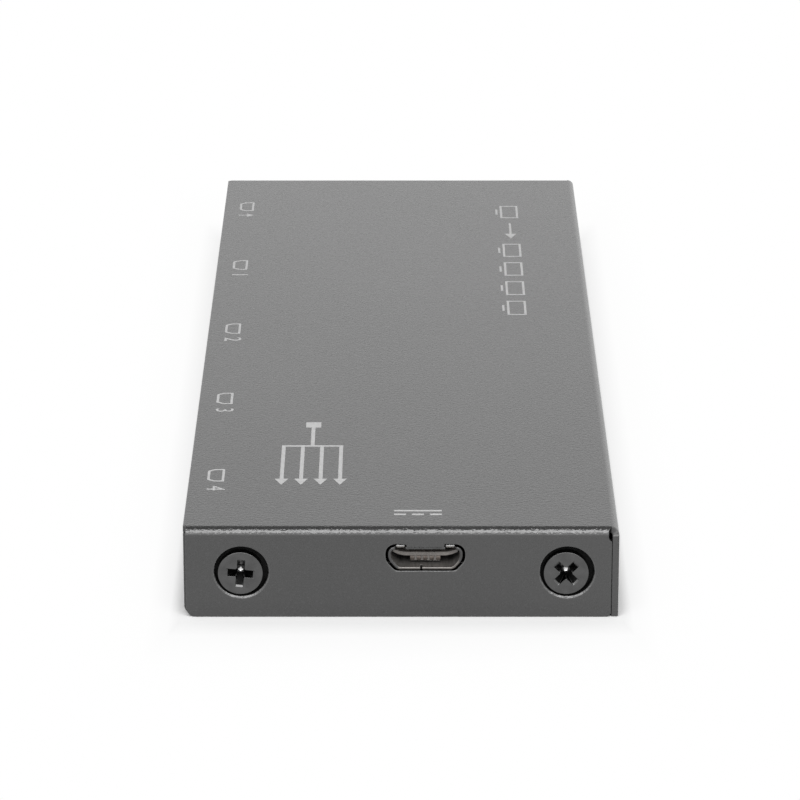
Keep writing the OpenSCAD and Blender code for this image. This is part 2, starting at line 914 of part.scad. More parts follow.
module power_core() {
  tail = board_top - power_z + contact_gap;
  blade = power_tongue_rise - power_tongue_t / 2 - contact_gap - contact_t;
  color("#262628")
    at_power()
      difference() {
        union() {
          along_x(power_l - power_block_l, power_l)
            power_outline(-core_gap);
          translate([power_tongue_set, -power_tongue_w / 2, power_tongue_rise - power_tongue_t / 2])
            cube([power_l - power_block_l / 2 - power_tongue_set, power_tongue_w, power_tongue_t]);
        }
        for (k = [0:power_contact_count - 1])
          translate([0, (k - (power_contact_count - 1) / 2) * power_pitch, 0])
            contact_channel(
              power_l - power_block_l, power_l - power_riser_set, power_l,
              blade, tail, contact_t, power_contact_w
            );
      }
}

module power_contacts() {
  tail = board_top - power_z + contact_gap;
  blade = power_tongue_rise - power_tongue_t / 2 - contact_gap - contact_t;
  color("#d8b04c")
    at_power()
      for (k = [0:power_contact_count - 1])
        translate([0, (k - (power_contact_count - 1) / 2) * power_pitch, 0])
          contact(
            power_tongue_set, power_l - power_riser_set, power_l + power_tail_l,
            blade, tail, contact_t, power_contact_w
          );
}

// A block of size s that stands on the board at x and y
module on_board(x, y, s) {
  translate([x - s[0] / 2, y - s[1] / 2, board_top])
    cube(s);
}

module splitter_chip() {
  color("#2b2b2d")
    translate([0, 0, chip_lift])
      on_board(chip_x, 0, [chip_w, chip_w, chip_t]);
}

module splitter_leads() {
  knee = chip_lift + chip_t / 2;
  color("#c9ccd0")
    translate([chip_x, 0, board_top])
      for (a = [0:90:270])
        rotate([0, 0, a])
          for (k = [0:lead_count - 1])
            translate([chip_w / 2, (k - (lead_count - 1) / 2) * lead_pitch, 0])
              contact(
                0, lead_l - lead_foot - lead_t, lead_l, knee, contact_gap, lead_t, lead_w
              );
}

module thermal_pad() {
  z = board_top + chip_lift + chip_t;
  color("#8fa3b5")
    translate([chip_x - pad_w / 2, -pad_w / 2, z])
      cube([pad_w, pad_w, case_h - cover_t - z]);
}

module control_chip() {
  color("#2b2b2d")
    on_board(chip_x, -control_y, [control_w, control_w, control_t]);
}

module memory_chips() {
  color("#333335")
    for (i = [0:4])
      on_board(memory_x - memory_w / 2, socket_y(i), [memory_w, memory_l, memory_t]);
}

module power_inductors() {
  color("#4a4744")
    for (s = [0, 1])
      on_board(supply_x + s * supply_pitch, -case_l / 2 + coil_y, [coil_w, coil_w, coil_h]);
}

module regulator_chips() {
  color("#2b2b2d")
    for (s = [0, 1])
      on_board(
        supply_x + s * supply_pitch, -case_l / 2 + coil_y + regulator_y,
        [regulator_l, regulator_w, regulator_t]
      );
}

module clock_crystal() {
  color("#b9bcc0")
    on_board(chip_x, crystal_y, [crystal_l, crystal_w, crystal_h]);
}

module capacitors() {
  color("#b08a5c")
    for (k = [0:cap_count - 1])
      for (s = [0, 1])
        on_board(
          case_w / 2 - cap_right - s * cap_pitch,
          cap_y + (k - (cap_count - 1) / 2) * cap_pitch,
          [cap_w, cap_l, cap_w]
        );
}

module status_lamps() {
  color("#e9efe2")
    for (i = [0:4])
      on_board(
        -case_w / 2 + foot_x + foot_l + lamp_gap + lamp_w / 2, lamp_y(i), [lamp_w, lamp_l, lamp_h]
      );
}

module light_pipes() {
  color("#dfe6ea")
    for (i = [0:4]) {
      translate([-case_w / 2 + foot_x, lamp_y(i) - foot_w / 2, board_top])
        cube([foot_l, foot_w, pipe_rise + pipe_d / 2]);
      along_x(-case_w / 2 + pipe_set, -case_w / 2 + foot_x + foot_l / 2)
        translate([lamp_y(i), pipe_z])
          circle(d = pipe_d);
    }
}

top_cover();
front_flap();
base_tray();
clinch_nuts();
end_screw(0);  // screw_front_left
end_screw(1);  // screw_front_right
end_screw(2);  // screw_rear_left
end_screw(3);  // screw_rear_right
insulation_sheet();
board_standoffs();
board_screws();
circuit_board();
video_shell(0);  // video_out_4_shell
video_shell(1);  // video_out_3_shell
video_shell(2);  // video_out_2_shell
video_shell(3);  // video_out_1_shell
video_shell(4);  // video_in_shell
video_core(0);  // video_out_4_core
video_core(1);  // video_out_3_core
video_core(2);  // video_out_2_core
video_core(3);  // video_out_1_core
video_core(4);  // video_in_core
video_contacts(0);  // video_out_4_contacts
video_contacts(1);  // video_out_3_contacts
video_contacts(2);  // video_out_2_contacts
video_contacts(3);  // video_out_1_contacts
video_contacts(4);  // video_in_contacts
power_shell();
power_core();
power_contacts();
splitter_chip();
splitter_leads();
thermal_pad();
control_chip();
memory_chips();
power_inductors();
regulator_chips();
clock_crystal();
capacitors();
status_lamps();
light_pipes();
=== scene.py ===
# %% [markdown]
# # A slim video splitter in folded sheet metal
# The box takes one picture signal in and sends it out again through four sockets. Its case is two
# folded sheets: a cover over the top, both ends and one side, and a tray under it whose wall holds
# the sockets. The solid model gives every size and place, and this lesson adds the looks. Loading it
# first also gives its outer box, which the floor uses to know where the box stands.

# %% Load the solid model
import math

import bmesh
import bpy
from mathutils import Matrix, Vector


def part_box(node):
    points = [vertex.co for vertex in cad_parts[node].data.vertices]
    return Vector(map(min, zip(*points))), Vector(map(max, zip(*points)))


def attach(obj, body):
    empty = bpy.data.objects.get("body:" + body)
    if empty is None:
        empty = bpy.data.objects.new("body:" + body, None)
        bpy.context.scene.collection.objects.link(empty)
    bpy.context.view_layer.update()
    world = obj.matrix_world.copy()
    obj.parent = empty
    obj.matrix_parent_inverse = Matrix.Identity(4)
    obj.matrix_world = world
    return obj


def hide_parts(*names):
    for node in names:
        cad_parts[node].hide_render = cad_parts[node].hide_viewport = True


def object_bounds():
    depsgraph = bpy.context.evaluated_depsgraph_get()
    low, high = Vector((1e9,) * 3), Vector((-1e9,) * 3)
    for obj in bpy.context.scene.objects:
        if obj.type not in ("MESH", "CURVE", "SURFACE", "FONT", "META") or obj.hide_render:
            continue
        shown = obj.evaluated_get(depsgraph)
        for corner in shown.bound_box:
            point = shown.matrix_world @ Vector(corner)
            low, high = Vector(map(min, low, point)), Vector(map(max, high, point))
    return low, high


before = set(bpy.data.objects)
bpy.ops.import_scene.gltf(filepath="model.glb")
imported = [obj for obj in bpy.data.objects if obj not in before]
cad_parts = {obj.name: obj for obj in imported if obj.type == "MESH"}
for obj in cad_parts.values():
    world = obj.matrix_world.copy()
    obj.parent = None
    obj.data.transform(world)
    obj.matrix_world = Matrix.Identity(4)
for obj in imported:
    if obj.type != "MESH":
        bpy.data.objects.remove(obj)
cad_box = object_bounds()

scene = bpy.context.scene
scene.view_settings.view_transform = "Standard"
print("solid model:", len(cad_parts), "nodes, box in mm:",
      [round(1000 * (high - low), 2) for low, high in zip(*cad_box)])

# %% [markdown]
# ## The camera
# The picture was taken from the power end, a little above the box, with a long lens: the far end is
# only a fifth narrower than the near one. A long lens far away gives that, and it is easier to match
# than a guess at a short lens, because lens and distance both follow from how fast the sides draw in.

# %% Camera
LENS, SENSOR, CAMERA_PLACE, CAMERA_DIP = 189.2, 36, (-0.00010, -0.449, 0.16346), 19.84
camera = bpy.data.objects.new("camera", bpy.data.cameras.new("camera"))
scene.collection.objects.link(camera)
camera.data.sensor_width = SENSOR
camera.data.lens = LENS
camera.data.clip_start, camera.data.clip_end = 0.02, 20
camera.location = CAMERA_PLACE
camera.rotation_euler = (math.radians(90 - CAMERA_DIP), 0, 0)
scene.camera = camera
print("camera", round(camera.location.length, 3), "m away, lens", camera.data.lens, "mm")

# %% [markdown]
# ## Light, floor and surroundings
# The box stands on white in a small studio. One large, wide softbox hangs high in front of it: the
# folded edge at the power end shows it as a bright line, and it is too high for the flat top to mirror
# it when the box is seen from behind. The far wall is bright near the horizon, which the flat top
# reflects at a low angle, and the ceiling is dim, which makes the dark line beside the bright one. A
# world that fades with height gives both.

# %% Softbox
LAMP_PLACE, LAMP_AIM = Vector((0, -0.585, 0.604)), Vector((0, -0.06, 0))
LAMP_SIZE, LAMP_POWER = (1.3, 0.55), 9.0
lamp = bpy.data.objects.new("front_softbox", bpy.data.lights.new("front_softbox", "AREA"))
scene.collection.objects.link(lamp)
lamp.data.shape = "RECTANGLE"
lamp.data.size, lamp.data.size_y = LAMP_SIZE
lamp.data.energy = LAMP_POWER
lamp.location = LAMP_PLACE
lamp.rotation_euler = (LAMP_AIM - LAMP_PLACE).to_track_quat("-Z", "Y").to_euler()
print("softbox:", LAMP_SIZE, "m,", LAMP_POWER, "W")

# %% Studio world
def ramp(nodes, stops):
    """A colour ramp with these (place, grey or colour) stops."""
    node = nodes.new("ShaderNodeValToRGB")
    while len(node.color_ramp.elements) < len(stops):
        node.color_ramp.elements.new(0.5)
    for element, (place, shade) in zip(node.color_ramp.elements, stops):
        element.position = place
        element.color = (*shade, 1) if isinstance(shade, tuple) else (shade, shade, shade, 1)
    return node


world = bpy.data.worlds.new("studio")
world.use_nodes = True
scene.world = world
nodes, links = world.node_tree.nodes, world.node_tree.links
direction = nodes.new("ShaderNodeTexCoord")
split = nodes.new("ShaderNodeSeparateXYZ")
HORIZON, CEILING = 1.25, 0.14
height_fade = ramp(nodes, [(0.0, HORIZON), (0.45, HORIZON), (0.53, 0.40), (0.75, 0.18), (1.0, CEILING)])
links.new(direction.outputs["Generated"], split.inputs[0])
links.new(split.outputs["Z"], height_fade.inputs[0])
links.new(height_fade.outputs[0], nodes["Background"].inputs["Color"])
nodes["Background"].inputs["Strength"].default_value = 1.0
print("world: horizon", HORIZON, "ceiling", CEILING)

# %% [markdown]
# The floor is paper. Close to the box it is lit like any other thing, so that it keeps the shadow, and
# farther out it glows as plain white wherever the camera or a shiny surface sees it. How much it glows
# depends on the distance to the box, which four small sums work out: fold the place into one quarter,
# take off the box's half size, count the way out at the sides faster, and keep the larger of the two.

# %% White floor
FLOOR_HALF, FLOOR_DROP, PAPER, SIDE_RATE, GLOW_REACH = 4, 0.00002, 0.8, (3.2, 1, 0), 0.03


def result(nodes, links, operation, first, second=None):
    """What a Math node makes of two sockets, or a Vector Math node of a vector and fixed numbers."""
    vector = first.type == "VECTOR"
    node = nodes.new("ShaderNodeVectorMath" if vector else "ShaderNodeMath")
    node.operation = operation
    links.new(first, node.inputs[0])
    if isinstance(second, bpy.types.NodeSocket):
        links.new(second, node.inputs[1])
    elif second is not None:
        node.inputs[1].default_value = second
    return node.outputs[0]


floor_mesh = bmesh.new()
bmesh.ops.create_grid(floor_mesh, x_segments=1, y_segments=1, size=FLOOR_HALF)
bmesh.ops.translate(floor_mesh, verts=floor_mesh.verts, vec=(0, 0, -FLOOR_DROP))
floor = bpy.data.objects.new("floor", bpy.data.meshes.new("floor"))
floor_mesh.to_mesh(floor.data)
floor_mesh.free()
scene.collection.objects.link(floor)

paper = bpy.data.materials.new("white_paper")
paper.use_nodes = True
nodes, links = paper.node_tree.nodes, paper.node_tree.links
nodes.remove(nodes["Principled BSDF"])
lit = nodes.new("ShaderNodeBsdfDiffuse")
lit.inputs["Color"].default_value = (PAPER, PAPER, PAPER, 1)
shine = nodes.new("ShaderNodeEmission")
shine.inputs["Strength"].default_value = 1.0
rays = nodes.new("ShaderNodeLightPath").outputs
seen = result(nodes, links, "MAXIMUM", rays["Is Camera Ray"], rays["Is Glossy Ray"])
seen = result(nodes, links, "MAXIMUM", seen, rays["Is Transmission Ray"])
place = nodes.new("ShaderNodeTexCoord").outputs["Object"]
beyond = result(nodes, links, "SUBTRACT", result(nodes, links, "ABSOLUTE", place), cad_box[1])
axes = nodes.new("ShaderNodeSeparateXYZ")
links.new(result(nodes, links, "MULTIPLY", beyond, SIDE_RATE), axes.inputs[0])
steps = nodes.new("ShaderNodeMapRange")
steps.inputs["From Max"].default_value = GLOW_REACH
links.new(result(nodes, links, "MAXIMUM", axes.outputs["X"], axes.outputs["Y"]), steps.inputs["Value"])
whiter = ramp(nodes, [(0.0, 0.0), (0.05, 0.05), (0.16, 0.75), (0.4, 0.96), (1.0, 1.0)])
links.new(steps.outputs[0], whiter.inputs[0])
share = result(nodes, links, "MULTIPLY", seen, whiter.outputs[0])
mixed = nodes.new("ShaderNodeMixShader")
links.new(share, mixed.inputs[0])
links.new(lit.outputs[0], mixed.inputs[1])
links.new(shine.outputs[0], mixed.inputs[2])
links.new(mixed.outputs[0], nodes["Material Output"].inputs["Surface"])
floor.data.materials.append(paper)
print("floor: glows fully", GLOW_REACH, "m from the box")

# %% [markdown]
# ## The finishes
# Every finish reads Object coordinates, so that its grain stays the same size on every piece. The
# helpers below make the common kind: two shades mixed by one noise, a roughness that varies with a
# second, and a fine bump. A metal or plastic then needs only its shades, scales and gloss. The first
# finish made this way is a near-black one for the walls and floors of the screw seats: painted shade,
# which makes the dark ring round each head.

# %% Nodes that the finishes share
def new_finish(name, metallic=0.0, ior=1.5, specular=0.5):
    finish = bpy.data.materials.new(name)
    finish.use_nodes = True
    bsdf = finish.node_tree.nodes["Principled BSDF"]
    bsdf.inputs["Metallic"].default_value = metallic
    bsdf.inputs["IOR"].default_value = ior
    bsdf.inputs["Specular IOR Level"].default_value = specular
    return finish, finish.node_tree.nodes, finish.node_tree.links, bsdf


def noise(nodes, links, coords, scale, detail=2.0, stretch=None):
    """A noise of `scale` grains to the metre on Object coordinates; `stretch` draws it out."""
    node = nodes.new("ShaderNodeTexNoise")
    node.inputs["Scale"].default_value = scale
    node.inputs["Detail"].default_value = detail
    source = coords.outputs["Object"]
    if stretch:
        mapping = nodes.new("ShaderNodeMapping")
        mapping.inputs["Scale"].default_value = stretch
        links.new(source, mapping.inputs["Vector"])
        source = mapping.outputs[0]
    links.new(source, node.inputs["Vector"])
    return node


def bump(nodes, links, bsdf, source, distance, strength):
    node = nodes.new("ShaderNodeBump")
    node.inputs["Distance"].default_value = distance
    node.inputs["Strength"].default_value = strength
    links.new(source, node.inputs["Height"])
    links.new(node.outputs[0], bsdf.inputs["Normal"])


def gloss(nodes, links, bsdf, source, rough):
    """A roughness between two values, as the source goes from 0 to 1."""
    node = nodes.new("ShaderNodeMapRange")
    node.inputs["To Min"].default_value, node.inputs["To Max"].default_value = rough
    links.new(source, node.inputs["Value"])
    links.new(node.outputs[0], bsdf.inputs["Roughness"])


def two_colours(nodes, links, bsdf, share, under, over):
    """A base colour from the socket `under`, with the fixed colour `over` where share is 1."""
    node = nodes.new("ShaderNodeMix")
    node.data_type = "RGBA"
    node.inputs["B"].default_value = over
    links.new(share, node.inputs["Factor"])
    links.new(under, node.inputs["A"])
    links.new(node.outputs["Result"], bsdf.inputs["Base Color"])


# %% A finish with a grain
PATCHES = 3.1


def grained(name, shades, scale, rough, metallic=0.0, ior=1.5, relief=(6000, 4e-6, 0.3), stretch=None,
            specular=0.5):
    """Two shades mixed by a noise, a roughness between two values, and a fine bump."""
    finish, nodes, links, bsdf = new_finish(name, metallic, ior, specular)
    coords = nodes.new("ShaderNodeTexCoord")
    cloud = noise(nodes, links, coords, scale, 3.0, stretch)
    colour = ramp(nodes, [(0.35, shades[0]), (0.65, shades[1])])
    links.new(cloud.outputs[0], colour.inputs[0])
    links.new(colour.outputs[0], bsdf.inputs["Base Color"])
    patches = noise(nodes, links, coords, scale * PATCHES, 2.0, stretch)
    gloss(nodes, links, bsdf, patches.outputs[0], rough)
    fine = noise(nodes, links, coords, relief[0], 2.0, stretch)
    bump(nodes, links, bsdf, fine.outputs[0], relief[1], relief[2])
    return finish


# Painted shade: a near-black finish for the seat walls and floors, which makes the dark ring round each
# head.
seat_painted_shade = grained("seat_painted_shade", (0.007, 0.011), 1500, (0.6, 0.75), relief=(5000, 4e-6, 0.3),
                      specular=0.06)
print("finish:", seat_painted_shade.name)

# %% [markdown]
# ## The paint of the case
# Both sheets are covered with a dark grey metallic paint that has a fine dry grain. On the flat faces
# the grain only softens the shine, but on the folded edge it breaks the bright line into sparkles. So
# the paint is partly metallic, with a bump for the grain and cells that pick out a few paler flakes. A
# very slow change of shade keeps the large faces from looking like one flat colour. On the folds at the
# ends and on the sloped rims of the openings, a copy that is coarser, paler and more metallic paints a
# brighter highlight.

# %% Sparkling grey paint
FLAKES, FLAKE_GAIN, GRAINS, GRAIN_STRENGTH = 7000, 1.12, 3600, 0.9
CLOUDS, CLOUD_SHARE = 45, 0.04


def case_paint(name, shade, metallic, grit, rough):
    finish, nodes, links, bsdf = new_finish(name, metallic, ior=1.6)
    coords = nodes.new("ShaderNodeTexCoord")
    slow = noise(nodes, links, coords, CLOUDS, 2.0)
    base = ramp(nodes, [(0.3, shade * (1 - CLOUD_SHARE)), (0.7, shade * (1 + CLOUD_SHARE))])
    links.new(slow.outputs[0], base.inputs[0])
    flakes = nodes.new("ShaderNodeTexVoronoi")
    flakes.inputs["Scale"].default_value = FLAKES
    links.new(coords.outputs["Object"], flakes.inputs["Vector"])
    pick = nodes.new("ShaderNodeSeparateColor")
    links.new(flakes.outputs["Color"], pick.inputs[0])
    bright = ramp(nodes, [(0.75, 0.0), (1.0, 1.0)])
    links.new(pick.outputs[0], bright.inputs[0])
    paler = shade * FLAKE_GAIN
    over = (paler, paler, paler + 0.01 * shade, 1)
    two_colours(nodes, links, bsdf, bright.outputs[0], base.outputs[0], over)
    gloss(nodes, links, bsdf, pick.outputs[1], rough)
    grain = noise(nodes, links, coords, GRAINS, 3.0)
    bump(nodes, links, bsdf, grain.outputs[0], grit, GRAIN_STRENGTH)
    return finish


cover_paint = case_paint("cover_paint", shade=0.0535, metallic=0.4, grit=3e-5, rough=(0.28, 0.20))
# A paler, more metallic copy for the folds and sloped rims, where it paints a brighter highlight.
fold_painted_highlight = case_paint("fold_painted_highlight", shade=0.106, metallic=0.75, grit=8e-5, rough=(0.21, 0.14))
tray_paint = case_paint("tray_paint", shade=0.052, metallic=0.4, grit=3e-5, rough=(0.28, 0.20))
print("paints:", cover_paint.name, fold_painted_highlight.name, tray_paint.name)

# %% [markdown]
# ## Folding sheet metal
# The cover was cut flat, folded on three lines and punched. Modelling it the same way keeps it one
# sheet: a bend line is spun through a quarter turn to make the fold, and the flap's outline, with its
# holes, is filled as one flat face. Only the outer skin is modelled, and Solidify gives it the
# sheet's thickness afterwards, so that every cut edge shows it. All of this is in millimetres.

# %% Sizes of the solids in millimetres
MM = 0.001
NEAR = 1e-3


def node_box(node):
    """A solid's lowest and highest corner."""
    return [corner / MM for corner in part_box(node)]


def node_middle(node):
    low, high = node_box(node)
    return (low + high) / 2


half_w, half_l, height = node_box("top_cover")[1]
print("case:", round(2 * half_w, 2), "x", round(2 * half_l, 2), "x", round(height, 2), "mm")

# %% Bending and pulling
def verts_of(edges):
    """The vertices of some edges, each once and in the same order in every run."""
    return list(dict.fromkeys(v for e in edges for v in e.verts))


def edges_of(verts):
    return list(dict.fromkeys(e for v in verts for e in v.link_edges))


def fold(bm, edges, pivot, axis, degrees, steps=12):
    """Spins a bend line into a fold and returns the edges at its far side."""
    made = bmesh.ops.spin(bm, geom=verts_of(edges) + list(edges), cent=pivot, axis=axis, dvec=(0, 0, 0),
                          angle=math.radians(degrees), steps=steps, use_merge=False,
                          use_normal_flip=False, use_duplicate=False)
    return [g for g in made["geom_last"] if isinstance(g, bmesh.types.BMEdge)]


def sweep(bm, corner, pivot, degrees, steps=8):
    """Draws an arc of edges from a corner round pivot, about Y, and returns its end."""
    made = bmesh.ops.spin(bm, geom=[corner], cent=pivot, axis=(0, 1, 0), dvec=(0, 0, 0),
                          angle=math.radians(degrees), steps=steps)
    return [g for g in made["geom_last"] if isinstance(g, bmesh.types.BMVert)][0]


def pull(bm, edges, vec):
    """Extrudes edges by vec and returns the new edges."""
    made = bmesh.ops.extrude_edge_only(bm, edges=edges)["geom"]
    bmesh.ops.translate(bm, verts=[g for g in made if isinstance(g, bmesh.types.BMVert)], vec=vec)
    return [g for g in made if isinstance(g, bmesh.types.BMEdge)
            and all(v in made for v in g.verts)]


# %% [markdown]
# An opening starts as an outline without a face. It gets a narrow band of faces first, which leaves the
# Bevel a clean strip to work in, and the rest of the panel is filled around the bands.

# %% Outlines, bands and fills
BAND = 0.2


def bevel(bm, geom, offset, affect, segments):
    bmesh.ops.bevel(bm, geom=geom, offset=offset, offset_type="OFFSET", affect=affect,
                    segments=segments, profile=0.5, material=-1)


def outline(bm, corners, radii, segments=6):
    """A closed outline with its corners rounded, as edges without a face."""
    before = set(bm.edges)
    verts = [bm.verts.new(c) for c in corners]
    bm.faces.new(verts)
    for radius in sorted({r for r in radii if r}):
        bevel(bm, [v for v, r in zip(verts, radii) if r == radius], radius, "VERTICES", segments)
    edges = [e for e in bm.edges if e not in before]
    bmesh.ops.delete(bm, geom=list({f for e in edges for f in e.link_faces}), context="FACES_ONLY")
    return edges


def ring(bm, radius, centre, turn, segments=64):
    """A circle of edges; turn is the matrix that stands it up."""
    made = bmesh.ops.create_circle(bm, cap_ends=False, radius=radius, segments=segments,
                                   matrix=Matrix.Translation(centre) @ turn)
    return edges_of(made["verts"])


def band(bm, edges, width=BAND):
    """Lays a band of faces inside a closed outline and returns its outer and its inner edges."""
    face = bmesh.ops.contextual_create(bm, geom=edges)["faces"]
    made = bmesh.ops.inset_region(bm, faces=face, thickness=width, use_boundary=True,
                                  use_even_offset=True)["faces"]
    inner = list(face[0].edges)
    outer = [e for f in made for e in f.edges
             if e not in inner and sum(g in made for g in e.link_faces) == 1]
    bmesh.ops.delete(bm, geom=face, context="FACES_ONLY")
    return outer, inner


def fill(bm, edges, normal):
    bmesh.ops.triangle_fill(bm, use_beauty=True, use_dissolve=False, edges=edges, normal=normal)


# %% [markdown]
# A finished mesh becomes a piece: it is scaled to metres, rides on the part, and hides the solids it
# stands for. Modifiers then give a skin its thickness and break its edges.

# %% From mesh to piece
def add_piece(bm, name, finishes, nodes=()):
    """Turns a mesh in millimetres into a piece that rides on the part."""
    bmesh.ops.scale(bm, vec=(MM, MM, MM), verts=bm.verts)
    mesh = bpy.data.meshes.new(name)
    bm.to_mesh(mesh)
    bm.free()
    mesh.shade_smooth()
    for finish in finishes:
        mesh.materials.append(finish)
    piece = bpy.data.objects.new(name, mesh)
    scene.collection.objects.link(piece)
    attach(piece, "root")
    if nodes:
        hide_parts(*nodes)
    print(name, len(mesh.vertices), "vertices")
    return piece


def thicken(piece, thickness, edge, segments=2, angle=35, inside=0):
    """Gives a skin its sheet thickness inwards, and breaks the cut edges."""
    if thickness:
        solid = piece.modifiers.new("sheet", "SOLIDIFY")
        solid.thickness = thickness * MM
        solid.offset = -1
        solid.use_even_offset = True
        solid.use_quality_normals = True
        solid.material_offset = inside
    soft = piece.modifiers.new("edges", "BEVEL")
    soft.width = edge * MM
    soft.segments = segments
    soft.limit_method = "ANGLE"
    soft.angle_limit = math.radians(angle)
    soft.use_clamp_overlap = False
    soft.harden_normals = True
    flat = piece.modifiers.new("flats", "WEIGHTED_NORMAL")
    flat.keep_sharp = True


def face_out(bm, sample, outwards):
    """Turns the whole skin over if the face nearest to sample looks the wrong way."""
    bmesh.ops.recalc_face_normals(bm, faces=bm.faces)
    bm.normal_update()
    face = min(bm.faces, key=lambda f: (f.calc_center_median() - Vector(sample)).length)
    if face.normal.dot(Vector(outwards)) < 0:
        bmesh.ops.reverse_faces(bm, faces=bm.faces)


# %% [markdown]
# ## The cover
# The top panel runs to the socket side and ends there as a cut edge. The plain side and both ends are
# folded down from it. Where two folds meet, a round relief hole keeps the sheet from tearing, and it
# shows as a dark notch at the corner. The side's own bend is cut back at a slant there, so that no horn
# stands out. The end flaps stop just short of the socket side.

# %% Top panel and plain side
COVER_T, COVER_R, CORNER_BACK, SIDE_ROUND = 0.68, 0.8, 0.5, 0.25
FLAP_SHORT, FLAP_GAP = 0.25, 0.025
bend_x, bend_y, bend_z = half_w - COVER_R, half_l - COVER_R, height - COVER_R
flap_x0, flap_x1 = -half_w + FLAP_SHORT, half_w - COVER_T - FLAP_GAP

cover = bmesh.new()
line = [cover.verts.new((bend_x, y, height)) for y in (-half_l, -bend_y, bend_y, half_l)]
bend_line = [cover.edges.new(pair) for pair in zip(line, line[1:])]
side_top = fold(cover, bend_line, (bend_x, 0, bend_z), (0, 1, 0), 90)
for v in cover.verts:
    if abs(abs(v.co.y) - half_l) < NEAR:
        v.co.y -= math.copysign(CORNER_BACK * (v.co.z - bend_z) / COVER_R, v.co.y)
side_low = pull(cover, side_top, (0, 0, -bend_z))
side_ends = [v for v in verts_of(side_low) if abs(abs(v.co.y) - half_l) < NEAR]
bevel(cover, side_ends, SIDE_ROUND, "VERTICES", 4)
panel_edge = pull(cover, [bend_line[1]], (flap_x0 - bend_x, 0, 0))
pull(cover, panel_edge, (-half_w - flap_x0, 0, 0))
print("cover so far:", len(cover.faces), "faces")

# %% [markdown]
# Each flap has two round seats for screw heads. A seat is a cup: the press leaves a short slope at
# the lower part of its rim, which takes the paler copy of the paint and sparkles. The wall and the floor
# are near black, a painted shade that makes the black ring round each head. The power opening has an
# eased edge all round.

# %% Screw seats and eased edges
SEAT_R, SEAT_DEEP, SEAT_SHIFT, SEAT_RISE, SHANK_HOLE = 2.8, 0.97, 0.1, 0.08, 1.4
LIP_DEEP, LIP_DRAW, LIP_ROUND = 0.14, 0.12, 0.05
EASE_DEEP, EASE_DRAW = 0.07, 0.11
screw_x = [node_middle(name).x for name in ("screw_front_left", "screw_front_right")]
screw_z = node_middle("screw_front_left").z
STAND = Matrix.Rotation(math.radians(90), 4, "X")
print("screw seats at x", [round(x, 2) for x in screw_x], "and z", round(screw_z, 2), "mm")


def screw_seat(bm, rim, x, side):
    """Presses a seat into the flap from its rim: a slope in the case paint, then a wall and a floor with a
    hole in near-black painted shade.
    """
    wall = pull(bm, rim, (0, -side * LIP_DEEP, 0))
    for v in verts_of(wall):
        v.co.x -= (v.co.x - x + side * SEAT_SHIFT) * LIP_DRAW / SEAT_R
        v.co.z -= (v.co.z - screw_z - SEAT_RISE - SEAT_R) * LIP_DRAW / SEAT_R
    unshaded_faces = set(bm.faces)
    deep = pull(bm, wall, (0, -side * (SEAT_DEEP - LIP_DEEP), 0))
    hole = pull(bm, deep, (0, 0, 0))
    for v in verts_of(hole):
        out = Vector((v.co.x - x, v.co.z - screw_z)).normalized() * SHANK_HOLE
        v.co.x, v.co.z = x + out.x, screw_z + out.y
    # The wall and the floor get the near-black finish, painted shade for the ring round the head.
    for face in bm.faces:
        if face not in unshaded_faces:
            face.material_index = 1
    bevel(bm, rim, LIP_ROUND, "EDGES", 3)


def ease_edge(bm, rim, side):
    """Slopes the edge of an opening inwards, as a press leaves it."""
    wall = verts_of(pull(bm, rim, (0, -side * EASE_DEEP, 0)))
    for axis in (0, 2):
        low, high = min(v.co[axis] for v in wall), max(v.co[axis] for v in wall)
        for v in wall:
            v.co[axis] -= (2 * v.co[axis] - low - high) / (high - low) * EASE_DRAW


# %% [markdown]
# A flap's edge is drawn once round: along its fold, round the relief hole at the plain side, down to a
# small chamfer, and along the bottom to a round corner. Everything inside it is one filled face.

# %% End flaps
RELIEF_R, RELIEF_X, RELIEF_LOW, RELIEF_HIGH = 0.55, half_w - 0.5, bend_z - 0.12, bend_z + 0.3
CHAMFER, CORNER_R = 0.35, 0.9


